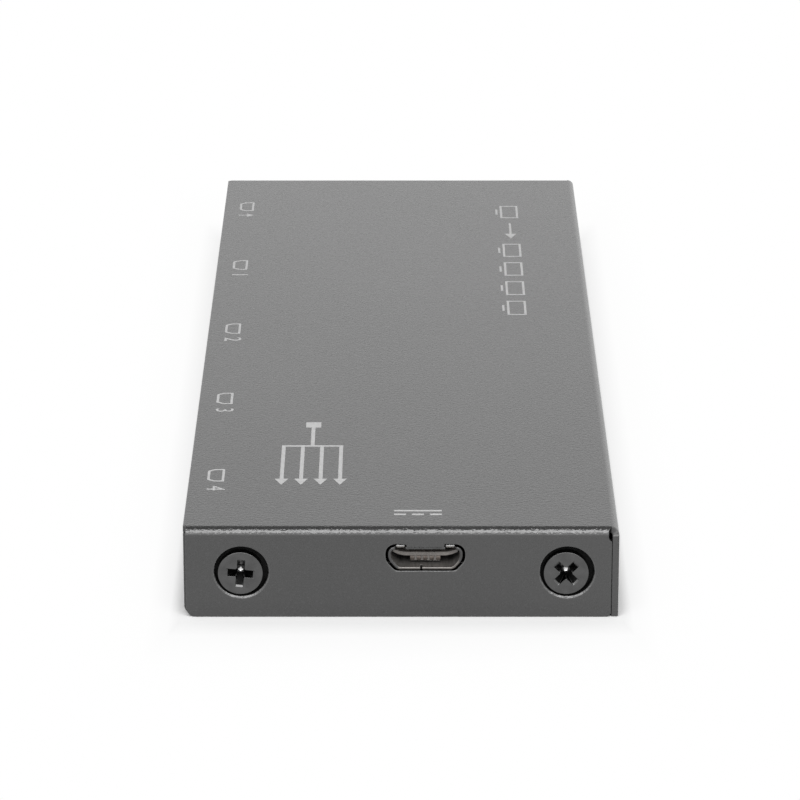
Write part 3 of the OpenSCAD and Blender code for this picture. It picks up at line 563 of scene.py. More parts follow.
def end_flap(bm, side, openings=()):
    """Folds the flap at y = side * half_l down, and fills it around its openings."""
    y = side * half_l
    bend = [e for e in bm.edges if all(abs(v.co.y - side * bend_y) < NEAR and v.co.z > height - NEAR
                                       and flap_x0 - NEAR < v.co.x < bend_x + NEAR for v in e.verts)]
    low = fold(bm, bend, (0, side * bend_y, bend_z), (1, 0, 0), -90 * side)
    for v in bm.verts:
        reach = RELIEF_R ** 2 - max(v.co.z - RELIEF_HIGH, 0) ** 2
        in_fold = side * v.co.y > bend_y + NEAR and v.co.z > bend_z - NEAR
        if in_fold and abs(v.co.x - bend_x) < NEAR and reach > 0:
            v.co.x = min(bend_x, RELIEF_X - math.sqrt(reach))
    before = set(bm.edges)
    left, right = sorted(verts_of(low), key=lambda v: v.co.x)
    corner = bm.verts.new((RELIEF_X - RELIEF_R, y, RELIEF_LOW))
    bm.edges.new((right, corner))
    turn = math.degrees(math.acos((RELIEF_X - flap_x1) / RELIEF_R))
    corner = sweep(bm, corner, (RELIEF_X, y, RELIEF_LOW), -turn)
    for point in ((flap_x1, y, CHAMFER), (flap_x1 - CHAMFER, y, 0), (flap_x0 + CORNER_R, y, 0)):
        step = bm.verts.new(point)
        bm.edges.new((corner, step))
        corner = step
    corner = sweep(bm, corner, (flap_x0 + CORNER_R, y, CORNER_R), 90)
    bm.edges.new((corner, left))
    edges = band(bm, [e for e in bm.edges if e not in before] + low)[1]
    seats = [band(bm, ring(bm, SEAT_R + BAND, (x - side * SEAT_SHIFT, y, screw_z + SEAT_RISE), STAND))
             for x in screw_x]
    cuts = [band(bm, outline(bm, *opening)) for opening in openings]
    holes = [outer for outer, rim in seats + cuts]
    fill(bm, edges + sum(holes, []), (0, side, 0))
    for outer, rim in cuts:
        ease_edge(bm, rim, side)
    for x, (outer, rim) in zip(screw_x, seats):
        screw_seat(bm, rim, x, side)
    print("flap at y", round(y, 2), "with", len(holes), "openings")


# %% [markdown]
# The power socket looks out of the front flap through an opening of its own shape: straight sides
# above, drawn in below, with a small tab of the sheet that reaches down between the socket's two upper
# lips. One function gives the outline of every socket, its shell and its opening, because they differ
# only in size and in how far they are grown.

# %% Socket outlines and the finished cover
def socket_corners(width, foot, tall, side, grow):
    """Corners of a socket's outline across and up from its middle, grown by a margin."""
    slope = math.atan((width - foot) / 2 / (tall - side))
    half, top = width / 2 + grow, tall / 2 + grow
    half_foot = foot / 2 + grow * math.tan((math.pi / 2 - slope) / 2)
    mid, low = tall / 2 - side - grow * math.tan(slope / 2), -tall / 2 - grow
    return [(half, top), (-half, top), (-half, mid), (-half_foot, low), (half_foot, low), (half, mid)]


def mirrored(points):
    return [(-u, w) for u, w in reversed(points)]


POWER_CUT, CUT_RISE, COVER_EDGE = (8.1, 6.16, 3.0, 1.842), 0.1, 0.07
CUT_ROUNDS = (1.2, 0, 0, 0, 0, 1.2, 0.5, 0.4, 0.4, 0.5)
TAB_HALF, TAB_LOW = 1.9, 1.25
BENT_FROM, BENT_TO = 0.1, 0.99
power_x, power_mouth = node_middle("power_shell").x, node_box("power_shell")[0].y
power_z = node_middle("power_core").z

cut = [(u, w + CUT_RISE) for u, w in socket_corners(*POWER_CUT, BAND)]
tab = [(TAB_HALF - BAND, cut[0][1]), (TAB_HALF - BAND, TAB_LOW + BAND)]
cut[1:1] = tab + mirrored(tab)
power_hole = [(power_x + u, -half_l, power_z + w) for u, w in cut]
end_flap(cover, -1, [(power_hole, CUT_ROUNDS)])
end_flap(cover, 1)
face_out(cover, (0, 0, height), (0, 0, 1))
# Faces that slope towards the ends, on the folds and rims, get the paler copy of the paint: painted
# highlight.
for face in cover.faces:
    if face.material_index == 0 and BENT_FROM < abs(face.normal.y) < BENT_TO:
        face.material_index = 2
cover_piece = add_piece(cover, "folded_cover", [cover_paint, seat_painted_shade, fold_painted_highlight],
                        ("top_cover", "front_flap"))
thicken(cover_piece, COVER_T, COVER_EDGE, 3)

# %% [markdown]
# ## The tray
# The tray is the lower sheet: a bottom, one wall with the five video sockets and their lamp holes, and
# four small tabs at the ends that take the screws. It is made as the cover was: the wall is filled
# around its openings, spun into the bottom, and the tabs are folded up from the bottom's edges.

# %% Socket wall
VIDEO = (14.0, 10.5, 4.55, 2.7)
WALL_GAP, WALL_ROUNDS = 0.55, (1.0, 1.0, 0.6, 0.6, 0.6, 0.6)
LAMP_OUT, LAMP_HOLE, LAMP_Z = 10.35, 0.75, 5.9
TRAY_T, TRAY_R, TRAY_EDGE = 0.7, 0.9, 0.05
names = ("video_out_4", "video_out_3", "video_out_2", "video_out_1", "video_in")
socket_y = [node_middle(name + "_shell").y for name in names]
lamp_y = [y + LAMP_OUT for y in socket_y[:4]] + [socket_y[4] - LAMP_OUT]
socket_mouth, socket_z = node_box("video_in_shell")[0].x, node_middle("video_in_shell").z
tray_right, tray_end, wall_top = node_box("base_tray")[1]
TURN = Matrix.Rotation(math.radians(90), 4, "Y")

tray = bmesh.new()
wall = [tray.verts.new((-half_w, y, z)) for y, z in ((-tray_end, TRAY_R), (-tray_end, wall_top),
                                                     (tray_end, wall_top), (tray_end, TRAY_R))]
outer, edges = band(tray, [tray.edges.new((a, b)) for a, b in zip(wall, wall[1:] + wall[:1])])
wall_low = [e for e in outer if all(abs(v.co.z - TRAY_R) < NEAR for v in e.verts)]
for y in socket_y:
    corners = [(-half_w, y + u, socket_z + w) for u, w in socket_corners(*VIDEO, WALL_GAP + BAND)]
    edges += band(tray, outline(tray, corners, WALL_ROUNDS))[0]
for y in lamp_y:
    edges += band(tray, ring(tray, LAMP_HOLE + BAND, (-half_w, y, LAMP_Z), TURN, 32))[0]
fill(tray, edges, (-1, 0, 0))
print("socket wall:", len(tray.faces), "faces")

# %% Bottom and end tabs
TAB_HALF_W, TAB_NOTCH, TAB_IN, TAB_TOP, NUT_HOLE = 4.0, 0.4, 1.67, 8.0, 1.81
tab_root = half_l - TAB_IN - TRAY_R

bottom_edge = fold(tray, wall_low, (-half_w + TRAY_R, 0, TRAY_R), (0, 1, 0), -90)[0]
before = set(tray.edges)
far_corners = []
notch = TAB_HALF_W + TAB_NOTCH
steps = [(x + across, deep) for x in screw_x
         for across, deep in ((-notch, tray_end), (-notch, tab_root), (-TAB_HALF_W, tab_root),
                              (TAB_HALF_W, tab_root), (notch, tab_root), (notch, tray_end))]
steps[-2:] = [(tray_right, tab_root)]
for side, corner in zip((-1, 1), sorted(bottom_edge.verts, key=lambda v: v.co.y)):
    for step_x, step_y in steps:
        step = tray.verts.new((step_x, side * step_y, 0))
        tray.edges.new((corner, step))
        corner = step
    far_corners.append(corner)
tray.edges.new(far_corners)
outer, edges = band(tray, [e for e in tray.edges if e not in before] + [bottom_edge], BAND / 2)
fill(tray, edges, (0, 0, -1))
for side, x in ((side, x) for side in (-1, 1) for x in screw_x):
    root = [e for e in outer if all(abs(v.co.y - side * tab_root) < NEAR
                                    and abs(v.co.x - x) < TAB_HALF_W + NEAR for v in e.verts)]
    low = fold(tray, root, (0, side * tab_root, TRAY_R), (1, 0, 0), 90 * side)[0]
    a, b = sorted(low.verts, key=lambda v: v.co.x)
    y = side * (tab_root + TRAY_R)
    c, d = tray.verts.new((x + TAB_HALF_W, y, TAB_TOP)), tray.verts.new((x - TAB_HALF_W, y, TAB_TOP))
    edges = band(tray, [low] + [tray.edges.new(pair) for pair in ((b, c), (c, d), (d, a))])[1]
    edges += band(tray, ring(tray, NUT_HOLE + BAND, (x, y, screw_z), STAND, 32))[0]
    fill(tray, edges, (0, side, 0))
face_out(tray, (0, 0, 0), (0, 0, -1))
tray_piece = add_piece(tray, "folded_tray", [tray_paint], ("base_tray",))
thicken(tray_piece, TRAY_T, TRAY_EDGE)

# %% [markdown]
# ## The end screws
# Four flat-headed screws with a cross recess hold the sheets together. Their heads sit level with the
# end faces in round seats. The side of a screw is a profile spun once round. The face is filled
# between its rim and the cross, and the cross is pulled in with its arms drawn together: first a short
# slope at the ends of the arms, then the long one to a small floor, and a cone at its foot. Black
# plating is a dark metal, whose flat face mirrors the pale room. Inside the recess a darker copy of it
# is painted shade, and the cone gets a pale steel that is a painted glint.

# %% Platings of the screws
FINE_GRAIN = (9000, 3e-6, 0.25)
screw_plating = grained("black_plating", (0.090, 0.111), 900, (0.20, 0.30), metallic=1.0, relief=FINE_GRAIN)
# A darker copy of the plating for the recess: painted shade.
recess_painted_shade = grained("recess_painted_shade", (0.030, 0.045), 900, (0.25, 0.35), metallic=1.0,
                         relief=FINE_GRAIN)
# A pale steel for the cone at the recess's foot: painted glint.
pit_painted_glint = grained("pit_painted_glint", (0.62, 0.70), 900, (0.14, 0.22), metallic=1.0, relief=(9000, 2e-6, 0.25))
print("platings:", screw_plating.name, recess_painted_shade.name, pit_painted_glint.name)

# %% Sizes of a screw and its cross
head_r = (node_box("screw_front_right")[1].x - node_box("screw_front_right")[0].x) / 2
HEAD_H, SHANK_R, SHANK_L, HEAD_ROUND = 0.95, 1.25, 3.4, 0.06
ARM, REACH, RECESS_DEEP, PIT_R, PIT_DEEP = 0.39, 1.46, 1.36, 0.27, 0.155
END_DRAW, END_DEEP, FOOT_ACROSS, FOOT_ALONG = 0.18, 0.12, 0.75, 0.06
TIP_CHAMFER, FACE_BAND, ARM_ROUNDS = 0.35, 0.1, [0.06, 0.2, 0.2]
SCREW_EDGE, SCREW_SHARP, SCREW_SOFT = 0.03, 18, 40
print("screw heads:", round(2 * head_r, 2), "mm across")


def draw_in(edges, across, along):
    """Narrows a cross-shaped loop across its arms, and shortens them."""
    for v in verts_of(edges):
        v.co.x, v.co.y = [math.copysign(across * min(abs(c), ARM) + along * max(abs(c) - ARM, 0), c)
                          for c in (v.co.x, v.co.y)]
    return edges


# %% Screws
def end_screw(name, side, turn):
    bm = bmesh.new()
    end = HEAD_H + SHANK_L
    points = [(head_r, HEAD_ROUND), (head_r, HEAD_H), (SHANK_R, HEAD_H), (SHANK_R, end - TIP_CHAMFER),
              (SHANK_R - TIP_CHAMFER, end), (0, end)]
    chain = [bm.verts.new((r, 0, z)) for r, z in points]
    for pair in zip(chain, chain[1:]):
        bm.edges.new(pair)
    sweep(bm, chain[0], (head_r - HEAD_ROUND, 0, HEAD_ROUND), 90, 6)
    bmesh.ops.spin(bm, geom=bm.verts[:] + bm.edges[:], cent=(0, 0, 0), axis=(0, 0, 1), dvec=(0, 0, 0),
                   angle=2 * math.pi, steps=64, use_merge=True)
    bmesh.ops.remove_doubles(bm, verts=bm.verts, dist=1e-5)
    rim = [e for e in bm.edges if e.is_boundary]
    a, h = ARM + FACE_BAND, REACH + FACE_BAND
    arm = [(a, a), (a, h), (-a, h)]
    cross = [(math.cos(q) * u - math.sin(q) * w, math.sin(q) * u + math.cos(q) * w, 0)
             for q in (0, math.pi / 2, math.pi, 3 * math.pi / 2) for u, w in arm]
    outer, recess = band(bm, outline(bm, cross, ARM_ROUNDS * 4), FACE_BAND)
    fill(bm, rim + outer, (0, 0, -1))
    ends = draw_in(pull(bm, recess, (0, 0, END_DEEP)), 1, 1 - END_DRAW / (REACH - ARM))
    bright = set(bm.faces)
    floor_edges = draw_in(pull(bm, ends, (0, 0, RECESS_DEEP - END_DEEP)), FOOT_ACROSS, FOOT_ALONG)
    pit_rim = ring(bm, PIT_R, (0, 0, RECESS_DEEP), Matrix(), 24)
    fill(bm, floor_edges + pit_rim, (0, 0, -1))
    pit = bmesh.ops.poke(bm, faces=bmesh.ops.contextual_create(bm, geom=pit_rim)["faces"])
    bmesh.ops.translate(bm, verts=pit["verts"], vec=(0, 0, PIT_DEEP))
    # The recess past the slopes at the arm ends gets the painted shade, and the cone the painted glint.
    for face in bm.faces:
        if face not in bright:
            face.material_index = 2 if face in pit["faces"] else 1
    face_out(bm, (head_r - 2 * FACE_BAND, 0, 0), (0, 0, -1))
    place = (Matrix.Translation((node_middle(name).x, side * half_l, screw_z))
             @ Matrix.Rotation(math.radians(0 if side < 0 else 180), 4, "Z")
             @ Matrix.Rotation(math.radians(turn), 4, "Y") @ Matrix.Rotation(math.radians(-90), 4, "X"))
    bmesh.ops.transform(bm, matrix=place, verts=bm.verts)
    piece = add_piece(bm, name + "_dressed", [screw_plating, recess_painted_shade, pit_painted_glint],
                      (name,))
    piece.data.set_sharp_from_angle(angle=math.radians(SCREW_SHARP))
    thicken(piece, 0, SCREW_EDGE, angle=SCREW_SOFT)


for name, side, turn in (("screw_front_left", -1, 5), ("screw_front_right", -1, 45),
                         ("screw_rear_left", 1, 20), ("screw_rear_right", 1, 70)):
    end_screw(name, side, turn)

# %% [markdown]
# ## The video sockets
# Each socket is a tube of thin plated steel around a black tongue that carries gold contacts on both
# sides. The tube is bent from sheet, so its corners are round, and small springs pushed in from its
# top and bottom hold the plug. A rounded outline is pulled into a tube, the springs are narrow strips
# that dip into it, and Solidify gives all of it the same thickness. Ears with legs sit on the board.

# %% Plated steel, black plastic and gold
plated = grained("nickel_plating", ((0.62, 0.61, 0.59), (0.70, 0.69, 0.67)), 700, (0.20, 0.34),
                 metallic=1.0, relief=(7000, 2e-6, 0.3))
core_plastic = grained("socket_plastic", (0.012, 0.020), 1500, (0.42, 0.55), relief=(7000, 6e-6, 0.35))
gold = grained("contact_gold", ((0.78, 0.56, 0.22), (0.86, 0.64, 0.29)), 2500, (0.16, 0.28),
               metallic=1.0, relief=(9000, 1.5e-6, 0.3))
print("finishes:", plated.name, core_plastic.name, gold.name)

# %% Blocks, ears and strips
EAR_W, EAR_L, EAR_T, EAR_EDGE, LEG_OUT, LEG_W, LEG_T, LEG_DROP = 1.3, 2.2, 0.3, 0.06, 1.0, 1.2, 0.3, 0.6
board_low, board_top = [corner.z for corner in node_box("circuit_board")]


def block(bm, low, high, edge):
    """A box between two corners, with its edges broken."""
    made = bmesh.ops.create_cube(bm, size=1)["verts"]
    bmesh.ops.scale(bm, vec=[b - a for a, b in zip(low, high)], verts=made)
    bmesh.ops.translate(bm, verts=made, vec=[(a + b) / 2 for a, b in zip(low, high)])
    bevel(bm, edges_of(made), edge, "EDGES", 2)


def ears(bm, x, half, root, centre_z):
    """A pair of solder ears on the board, each with its leg."""
    top = board_top - centre_z
    for s in (-1, 1):
        inner, outer = sorted((s * root, s * (half + EAR_W)))
        block(bm, (x, inner, top), (x + EAR_L, outer, top + EAR_T), EAR_EDGE)
        leg = s * (half + LEG_OUT)
        block(bm, (x + (EAR_L - LEG_W) / 2, leg - LEG_T / 2, board_low - centre_z - LEG_DROP),
              (x + (EAR_L + LEG_W) / 2, leg + LEG_T / 2, top + EAR_T / 2), EAR_EDGE)


def strip(bm, y, half, path):
    """A narrow strip that follows a path of (x, z) places."""
    edge = [bm.edges.new([bm.verts.new((path[0][0], y + s * half, path[0][1])) for s in (-1, 1)])]
    for (x0, z0), (x1, z1) in zip(path, path[1:]):
        edge = pull(bm, edge, (x1 - x0, 0, z1 - z0))


print("board between z", round(board_low, 2), "and", round(board_top, 2), "mm")

# %% Socket shells
SHELL_T, SHELL_EDGE, SHELL_ROUNDS = 0.35, 0.07, (0.6, 0.6, 0.35, 0.35, 0.35, 0.35)
SPRING = [(1.9, 0.0), (2.6, 0.06), (3.6, 0.26), (4.6, 0.46), (5.4, 0.5), (6.2, 0.42), (6.9, 0.24)]
SPRING_Z, SPRING_HALF, SPRINGS = 2.6, 0.8, ((1, 3.6), (-1, 2.4))
EARS_FRONT, EARS_BACK = 3.7, 1.2
shell_l = node_box("video_in_shell")[1].x - socket_mouth


def video_shell(name, y):
    bm = bmesh.new()
    corners = [(0, u, w) for u, w in socket_corners(*VIDEO, SHELL_T)]
    pull(bm, outline(bm, corners, SHELL_ROUNDS), (shell_l, 0, 0))
    face_out(bm, (shell_l / 2, 0, SPRING_Z), (0, 0, 1))
    tube = set(bm.faces)
    for up, u in ((up, s * out) for up, out in SPRINGS for s in (-1, 1)):
        strip(bm, u, SPRING_HALF, [(x, up * (SPRING_Z - dip)) for x, dip in SPRING])
    for f in bm.faces:
        if f not in tube and f.normal.z * f.calc_center_median().z < 0:
            f.normal_flip()
    bmesh.ops.translate(bm, verts=bm.verts, vec=(socket_mouth, y, socket_z))
    piece = add_piece(bm, name + "_shell_dressed", [plated], (name + "_shell",))
    thicken(piece, SHELL_T, SHELL_EDGE)


def video_ears(name, y):
    bm = bmesh.new()
    for x in (EARS_FRONT, shell_l - EARS_BACK - EAR_L):
        ears(bm, x, VIDEO[0] / 2 + SHELL_T, VIDEO[0] / 2 + SHELL_T / 2, socket_z)
    bmesh.ops.translate(bm, verts=bm.verts, vec=(socket_mouth, y, socket_z))
    add_piece(bm, name + "_ears", [plated])


for name, y in zip(names, socket_y):
    video_shell(name, y)
    video_ears(name, y)

# %% Socket cores
TONGUE_SET, TONGUE_HALF, TONGUE_LOW, TONGUE_HIGH, TONGUE_EDGE = 2.0, 5.6, -0.4, 0.8, 0.16
BLOCK_L, CORE_GAP, CORE_EDGE, CORE_ROUNDS = 3.6, -0.03, 0.04, (0.25, 0.25, 0.2, 0.2, 0.2, 0.2)


def plug_body(bm, corners, radii, length):
    """A closed body from an outline pulled along x."""
    face = outline(bm, corners, radii)
    back = pull(bm, face, (length, 0, 0))
    bmesh.ops.contextual_create(bm, geom=face)
    bmesh.ops.contextual_create(bm, geom=back)


def video_core(name, y):
    bm = bmesh.new()
    corners = [(shell_l - BLOCK_L, u, w) for u, w in socket_corners(*VIDEO, CORE_GAP)]
    plug_body(bm, corners, CORE_ROUNDS, BLOCK_L)
    bmesh.ops.recalc_face_normals(bm, faces=bm.faces)
    block(bm, (TONGUE_SET, -TONGUE_HALF, TONGUE_LOW), (shell_l - BLOCK_L / 2, TONGUE_HALF, TONGUE_HIGH),
          TONGUE_EDGE)
    bmesh.ops.translate(bm, verts=bm.verts, vec=(socket_mouth, y, socket_z))
    piece = add_piece(bm, name + "_core_dressed", [core_plastic], (name + "_core",))
    thicken(piece, 0, CORE_EDGE)


for name, y in zip(names, socket_y):
    video_core(name, y)

# %% [markdown]
# ## The power socket
# The small socket at the end has the same build, in a duller steel. Two short lips above its mouth are
# bent outwards to guide the plug, and catch the light as thin bright bars. The rest of the rim is
# straight, with a seam below where the bent sheet meets itself. The rim is made in parts from the same
# edge, so that the slits beside the lips open by themselves. The plating comes in four kinds: dull
# outside, paler and rougher inside, and paler copies on the lips and on the lower rim, which paint
# highlights there.

# %% Platings and place of the power socket
POWER, POWER_T, LIP = (6.9, 5.4, 1.85, 0.95), 0.3, 0.6
STEEL_GRAIN = (6000, 5e-6, 0.4)
power_l = node_box("power_shell")[1].y - power_mouth
dull_steel = grained("dull_plating", (0.080, 0.100), 900, (0.22, 0.32), metallic=1.0, relief=STEEL_GRAIN)
# A paler copy for the lips: painted highlight.
lip_painted_highlight = grained("lip_highlight_plating", (0.28, 0.34), 900, (0.25, 0.35), metallic=1.0, relief=STEEL_GRAIN)
# A little paler copy for the lower rim: painted highlight.
rim_painted_highlight = grained("rim_highlight_plating", ((0.15, 0.142, 0.135), (0.19, 0.18, 0.17)), 900, (0.28, 0.38),
                    metallic=1.0, relief=STEEL_GRAIN)
# A paler, rougher plating for the shell's inner faces.
inner_steel = grained("inner_plating", ((0.13, 0.122, 0.115), (0.19, 0.18, 0.17)), 1500, (0.45, 0.6),
                     metallic=0.7, relief=STEEL_GRAIN, stretch=(3, 0.4, 1))


def power_place(bm):
    """From the socket's own axes, x into the case and y to the right, to the part's."""
    bmesh.ops.transform(bm, verts=bm.verts, matrix=Matrix.Translation((power_x, power_mouth, power_z))
                        @ Matrix.Rotation(math.radians(90), 4, "Z") @ Matrix.Scale(-1, 4, (0, 1, 0)))
    bmesh.ops.reverse_faces(bm, faces=bm.faces)


print("power socket:", round(power_l, 2), "mm deep")

# %% Power shell
LIPS, SEAM = ((-2.95, -2.0), (2.0, 2.95)), (-0.46, -0.36)
LIP_STEPS = ((0.25, 0.09), (0.25, 0.13), (0.17, 0.075))
POWER_ROUNDS, POWER_EDGE, LEGS_AT = (0.75, 0.75, 0.4, 0.35, 0.35, 0.4), 0.12, 2.6

shell = bmesh.new()
front_rim = outline(shell, [(LIP, u, w) for u, w in socket_corners(*POWER, POWER_T)], POWER_ROUNDS)
pull(shell, front_rim, (power_l - LIP, 0, 0))
face_out(shell, (power_l / 2, 0, POWER[2] / 2 + POWER_T), (0, 0, 1))
for u in (*LIPS[0], *LIPS[1], *SEAM):
    bmesh.ops.bisect_plane(shell, geom=shell.verts[:] + shell.edges[:] + shell.faces[:], dist=1e-5,
                           plane_co=(0, u, 0), plane_no=(0, 1, 0))


def rim_part(low, high, top):
    """The front rim's edges between two places across, above or below the middle."""
    return [e for e in shell.edges if all(abs(v.co.x - LIP) < NEAR and low - NEAR < v.co.y < high + NEAR
                                          and (v.co.z > 0) == top for v in e.verts)]


lips = [rim_part(*span, True) for span in LIPS]
apart = sum(lips, rim_part(*SEAM, False))
straight = [e for e in shell.edges if e not in apart and all(abs(v.co.x - LIP) < NEAR for v in e.verts)]
print("power rim:", len(straight), "straight edges,", sum(len(rim) for rim in lips), "in the lips")

# %% Rim and lips of the power shell
RIM_BAND, RIM_SHEEN_BELOW, RIM_SHEEN_FROM = 0.14, -0.6, -2.8
mouth = pull(shell, straight, (RIM_BAND - LIP, 0, 0))
body = set(shell.faces)
pull(shell, mouth, (-RIM_BAND, 0, 0))
# Faces of the front band low on the rim get the painted highlight of the lower rim.
for face in shell.faces:
    middle = face.calc_center_median()
    if face not in body and middle.z < RIM_SHEEN_BELOW and middle.y > RIM_SHEEN_FROM:
        face.material_index = 3
body = set(shell.faces)
for rim in lips:
    for share, rise in LIP_STEPS:
        rim = pull(shell, rim, (-LIP * share, 0, rise))
# The lips get the paler copy: painted highlight.
for face in shell.faces:
    if face not in body:
        face.material_index = 2
power_place(shell)
power_shell = add_piece(shell, "power_shell_dressed", [dull_steel, inner_steel, lip_painted_highlight, rim_painted_highlight],
                        ("power_shell",))
thicken(power_shell, POWER_T, POWER_EDGE, 4, inside=1)

legs = bmesh.new()
ears(legs, LEGS_AT - EAR_L / 2, POWER[0] / 2 + POWER_T, POWER[1] / 2, power_z)
power_place(legs)
add_piece(legs, "power_ears", [dull_steel])

# %% [markdown]
# Inside the power socket a thin brown-grey tongue reaches forward, its ends turned up along the shell.
# A carrier under it holds five springy contacts, which show as one pale block between two black gaps.

# %% Power tongue
BACK_L, BACK_ROUNDS = 2.0, (0.25, 0.25, 0.1, 0.1, 0.1, 0.1)
TIP_FROM, TIP_CUT, TIP_ROUNDS = 0.9, 2.5, (0.1, 0.4, 0.4, 0.1, 0.1, 0.5, 0.5, 0.1)
TIP_UPPER, TIP_LOWER = [(3.2, 0.66), (2.4, 0.34)], [(2.4, -0.06), (3.3, 0.36)]
CARRIER_LOW, CARRIER_HIGH, CARRIER_EDGE = (1.05, -1.5, -0.66), (power_l - 1.5, 1.5, 0.0), 0.05
tongue_plastic = grained("tongue_plastic", ((0.115, 0.106, 0.098), (0.15, 0.139, 0.128)), 1500,
                         (0.35, 0.5), relief=(7000, 5e-6, 0.3))
core = bmesh.new()
corners = [(power_l - BACK_L, u, w) for u, w in socket_corners(*POWER, CORE_GAP)]
plug_body(core, corners, BACK_ROUNDS, BACK_L)
black = set(core.faces)
tip = TIP_UPPER + mirrored(TIP_UPPER) + mirrored(TIP_LOWER) + TIP_LOWER
plug_body(core, [(TIP_FROM, u, w) for u, w in tip], TIP_ROUNDS, power_l - TIP_CUT)
bmesh.ops.recalc_face_normals(core, faces=core.faces)
block(core, CARRIER_LOW, CARRIER_HIGH, CARRIER_EDGE)
for face in core.faces:
    face.material_index = 0 if face in black else 1
power_place(core)
power_core = add_piece(core, "power_core_dressed", [core_plastic, tongue_plastic],
                       ("power_core",))
thicken(power_core, 0, CORE_EDGE)

# %% Power contacts
CONTACT_STEP, CONTACT_HALF, CONTACT_T, CONTACT_EDGE = 0.65, 0.21, 0.1, 0.02
CONTACT_PATH = [(0.98, -0.1), (0.96, -0.42), (1.06, -0.6), (1.5, -0.68), (2.4, -0.7), (3.3, -0.7),
                (4.3, -0.72), (4.3, -1.14), (6.0, -1.14)]
contact_tin = grained("contact_tin", ((0.16, 0.138, 0.125), (0.22, 0.19, 0.17)), 2500, (0.30, 0.42),
                      metallic=1.0, relief=(8000, 3e-6, 0.3))
contacts = bmesh.new()
for k in range(5):
    strip(contacts, (k - 2) * CONTACT_STEP, CONTACT_HALF, CONTACT_PATH)
bmesh.ops.recalc_face_normals(contacts, faces=contacts.faces)
power_place(contacts)
power_contacts = add_piece(contacts, "power_contacts_dressed", [contact_tin],
                           ("power_contacts",))
thicken(power_contacts, CONTACT_T, CONTACT_EDGE)

# %% [markdown]
# ## The pieces that stay as the solid model has them
# The board, its parts, the nuts and the contacts of the video sockets are already right in shape, and
# hardly any of them shows. They keep their meshes and get a finish each, because a viewer who opens
# the case should find a green board with tracks and not grey blocks.

# %% Finishes of the inner parts
def dress(finish, *nodes):
    for node in nodes:
        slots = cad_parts[node].data.materials
        slots.clear()
        slots.append(finish)
    print(finish.name, "on", ", ".join(nodes))


dress(gold, *[name + "_contacts" for name in names])
dress(grained("bright_steel", (0.52, 0.60), 800, (0.22, 0.36), metallic=1.0), "clinch_nuts", "board_screws")
dress(grained("brass", ((0.62, 0.46, 0.20), (0.70, 0.53, 0.25)), 600, (0.2, 0.34), metallic=1.0),
      "board_standoffs")
dress(grained("insulating_film", ((0.66, 0.62, 0.50), (0.72, 0.68, 0.56)), 250, (0.35, 0.5)),
      "insulation_sheet")
dress(grained("chip_resin", (0.020, 0.030), 2500, (0.5, 0.65)),
      "splitter_chip", "control_chip", "memory_chips", "regulator_chips")
dress(grained("tinned_leads", (0.60, 0.68), 1500, (0.25, 0.38), metallic=1.0), "splitter_leads")
dress(grained("thermal_rubber", ((0.26, 0.33, 0.40), (0.31, 0.38, 0.45)), 1200, (0.6, 0.75)), "thermal_pad")
dress(grained("ferrite", (0.05, 0.075), 1800, (0.45, 0.6)), "power_inductors")
dress(grained("crystal_can", (0.58, 0.66), 900, (0.2, 0.32), metallic=1.0), "clock_crystal")
dress(grained("ceramic", ((0.40, 0.28, 0.16), (0.48, 0.34, 0.20)), 2000, (0.4, 0.55)), "capacitors")
dress(grained("lamp_lens", ((0.78, 0.80, 0.68), (0.86, 0.88, 0.78)), 2000, (0.25, 0.35)), "status_lamps")

# %% [markdown]
# The light pipes let part of the light through. The board's lacquer shows the tracks under it as paler
# lines: a brick pattern gives them, with the tracks as its joints. At its two cut ends the board shows
# its dark laminate instead.

# %% Light pipes and board
pipe_plastic = grained("pipe_plastic", ((0.70, 0.74, 0.76), (0.78, 0.82, 0.84)), 900, (0.12, 0.22),
                       ior=1.49)
pipe_plastic.node_tree.nodes["Principled BSDF"].inputs["Transmission Weight"].default_value = 0.5
dress(pipe_plastic, "light_pipes")

RIM, LAMINATE, LACQUER, LACQUER_ROUGH = 0.05 * MM, (0.010, 0.009, 0.007, 1), 900, (0.28, 0.42)
board, nodes, links, bsdf = new_finish("solder_mask")
coords = nodes.new("ShaderNodeTexCoord")
tracks = nodes.new("ShaderNodeTexBrick")
for socket, value in (("Scale", 420), ("Mortar Size", 0.06), ("Color1", (0.006, 0.050, 0.024, 1)),
                      ("Color2", (0.007, 0.056, 0.027, 1)), ("Mortar", (0.018, 0.095, 0.048, 1))):
    tracks.inputs[socket].default_value = value
links.new(coords.outputs["Object"], tracks.inputs["Vector"])
axes = nodes.new("ShaderNodeSeparateXYZ")
links.new(coords.outputs["Object"], axes.inputs[0])
along = result(nodes, links, "ABSOLUTE", axes.outputs["Y"])
at_rim = result(nodes, links, "GREATER_THAN", along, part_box("circuit_board")[1].y - RIM)
two_colours(nodes, links, bsdf, at_rim, tracks.outputs["Color"], LAMINATE)
gloss(nodes, links, bsdf, noise(nodes, links, coords, LACQUER).outputs[0], LACQUER_ROUGH)
bump(nodes, links, bsdf, tracks.outputs["Fac"], 2e-5, 0.4)
dress(board, "circuit_board")

# %% [markdown]
# ## The printed marks
# Pale marks are printed on the top. They are plain signs: a socket's outline with a number beside each
# output, an arrow into the box at the input, the sign for direct current at the power socket, a line
# that branches into four, and a row of screens in which one leads to four. Each is a flat outline that
# is filled and then pulled up by the thickness of the ink, so that it is a closed thin body that is
# partly sunk in the paint.

# %% Ink and flat signs
ink = grained("pale_ink", (0.42, 0.48), 1800, (0.45, 0.6), relief=(5000, 4e-6, 0.3))
INK_UP, INK_DOWN, FIGURE_SHARE = 0.012, 0.03, 0.7
marks = bmesh.new()


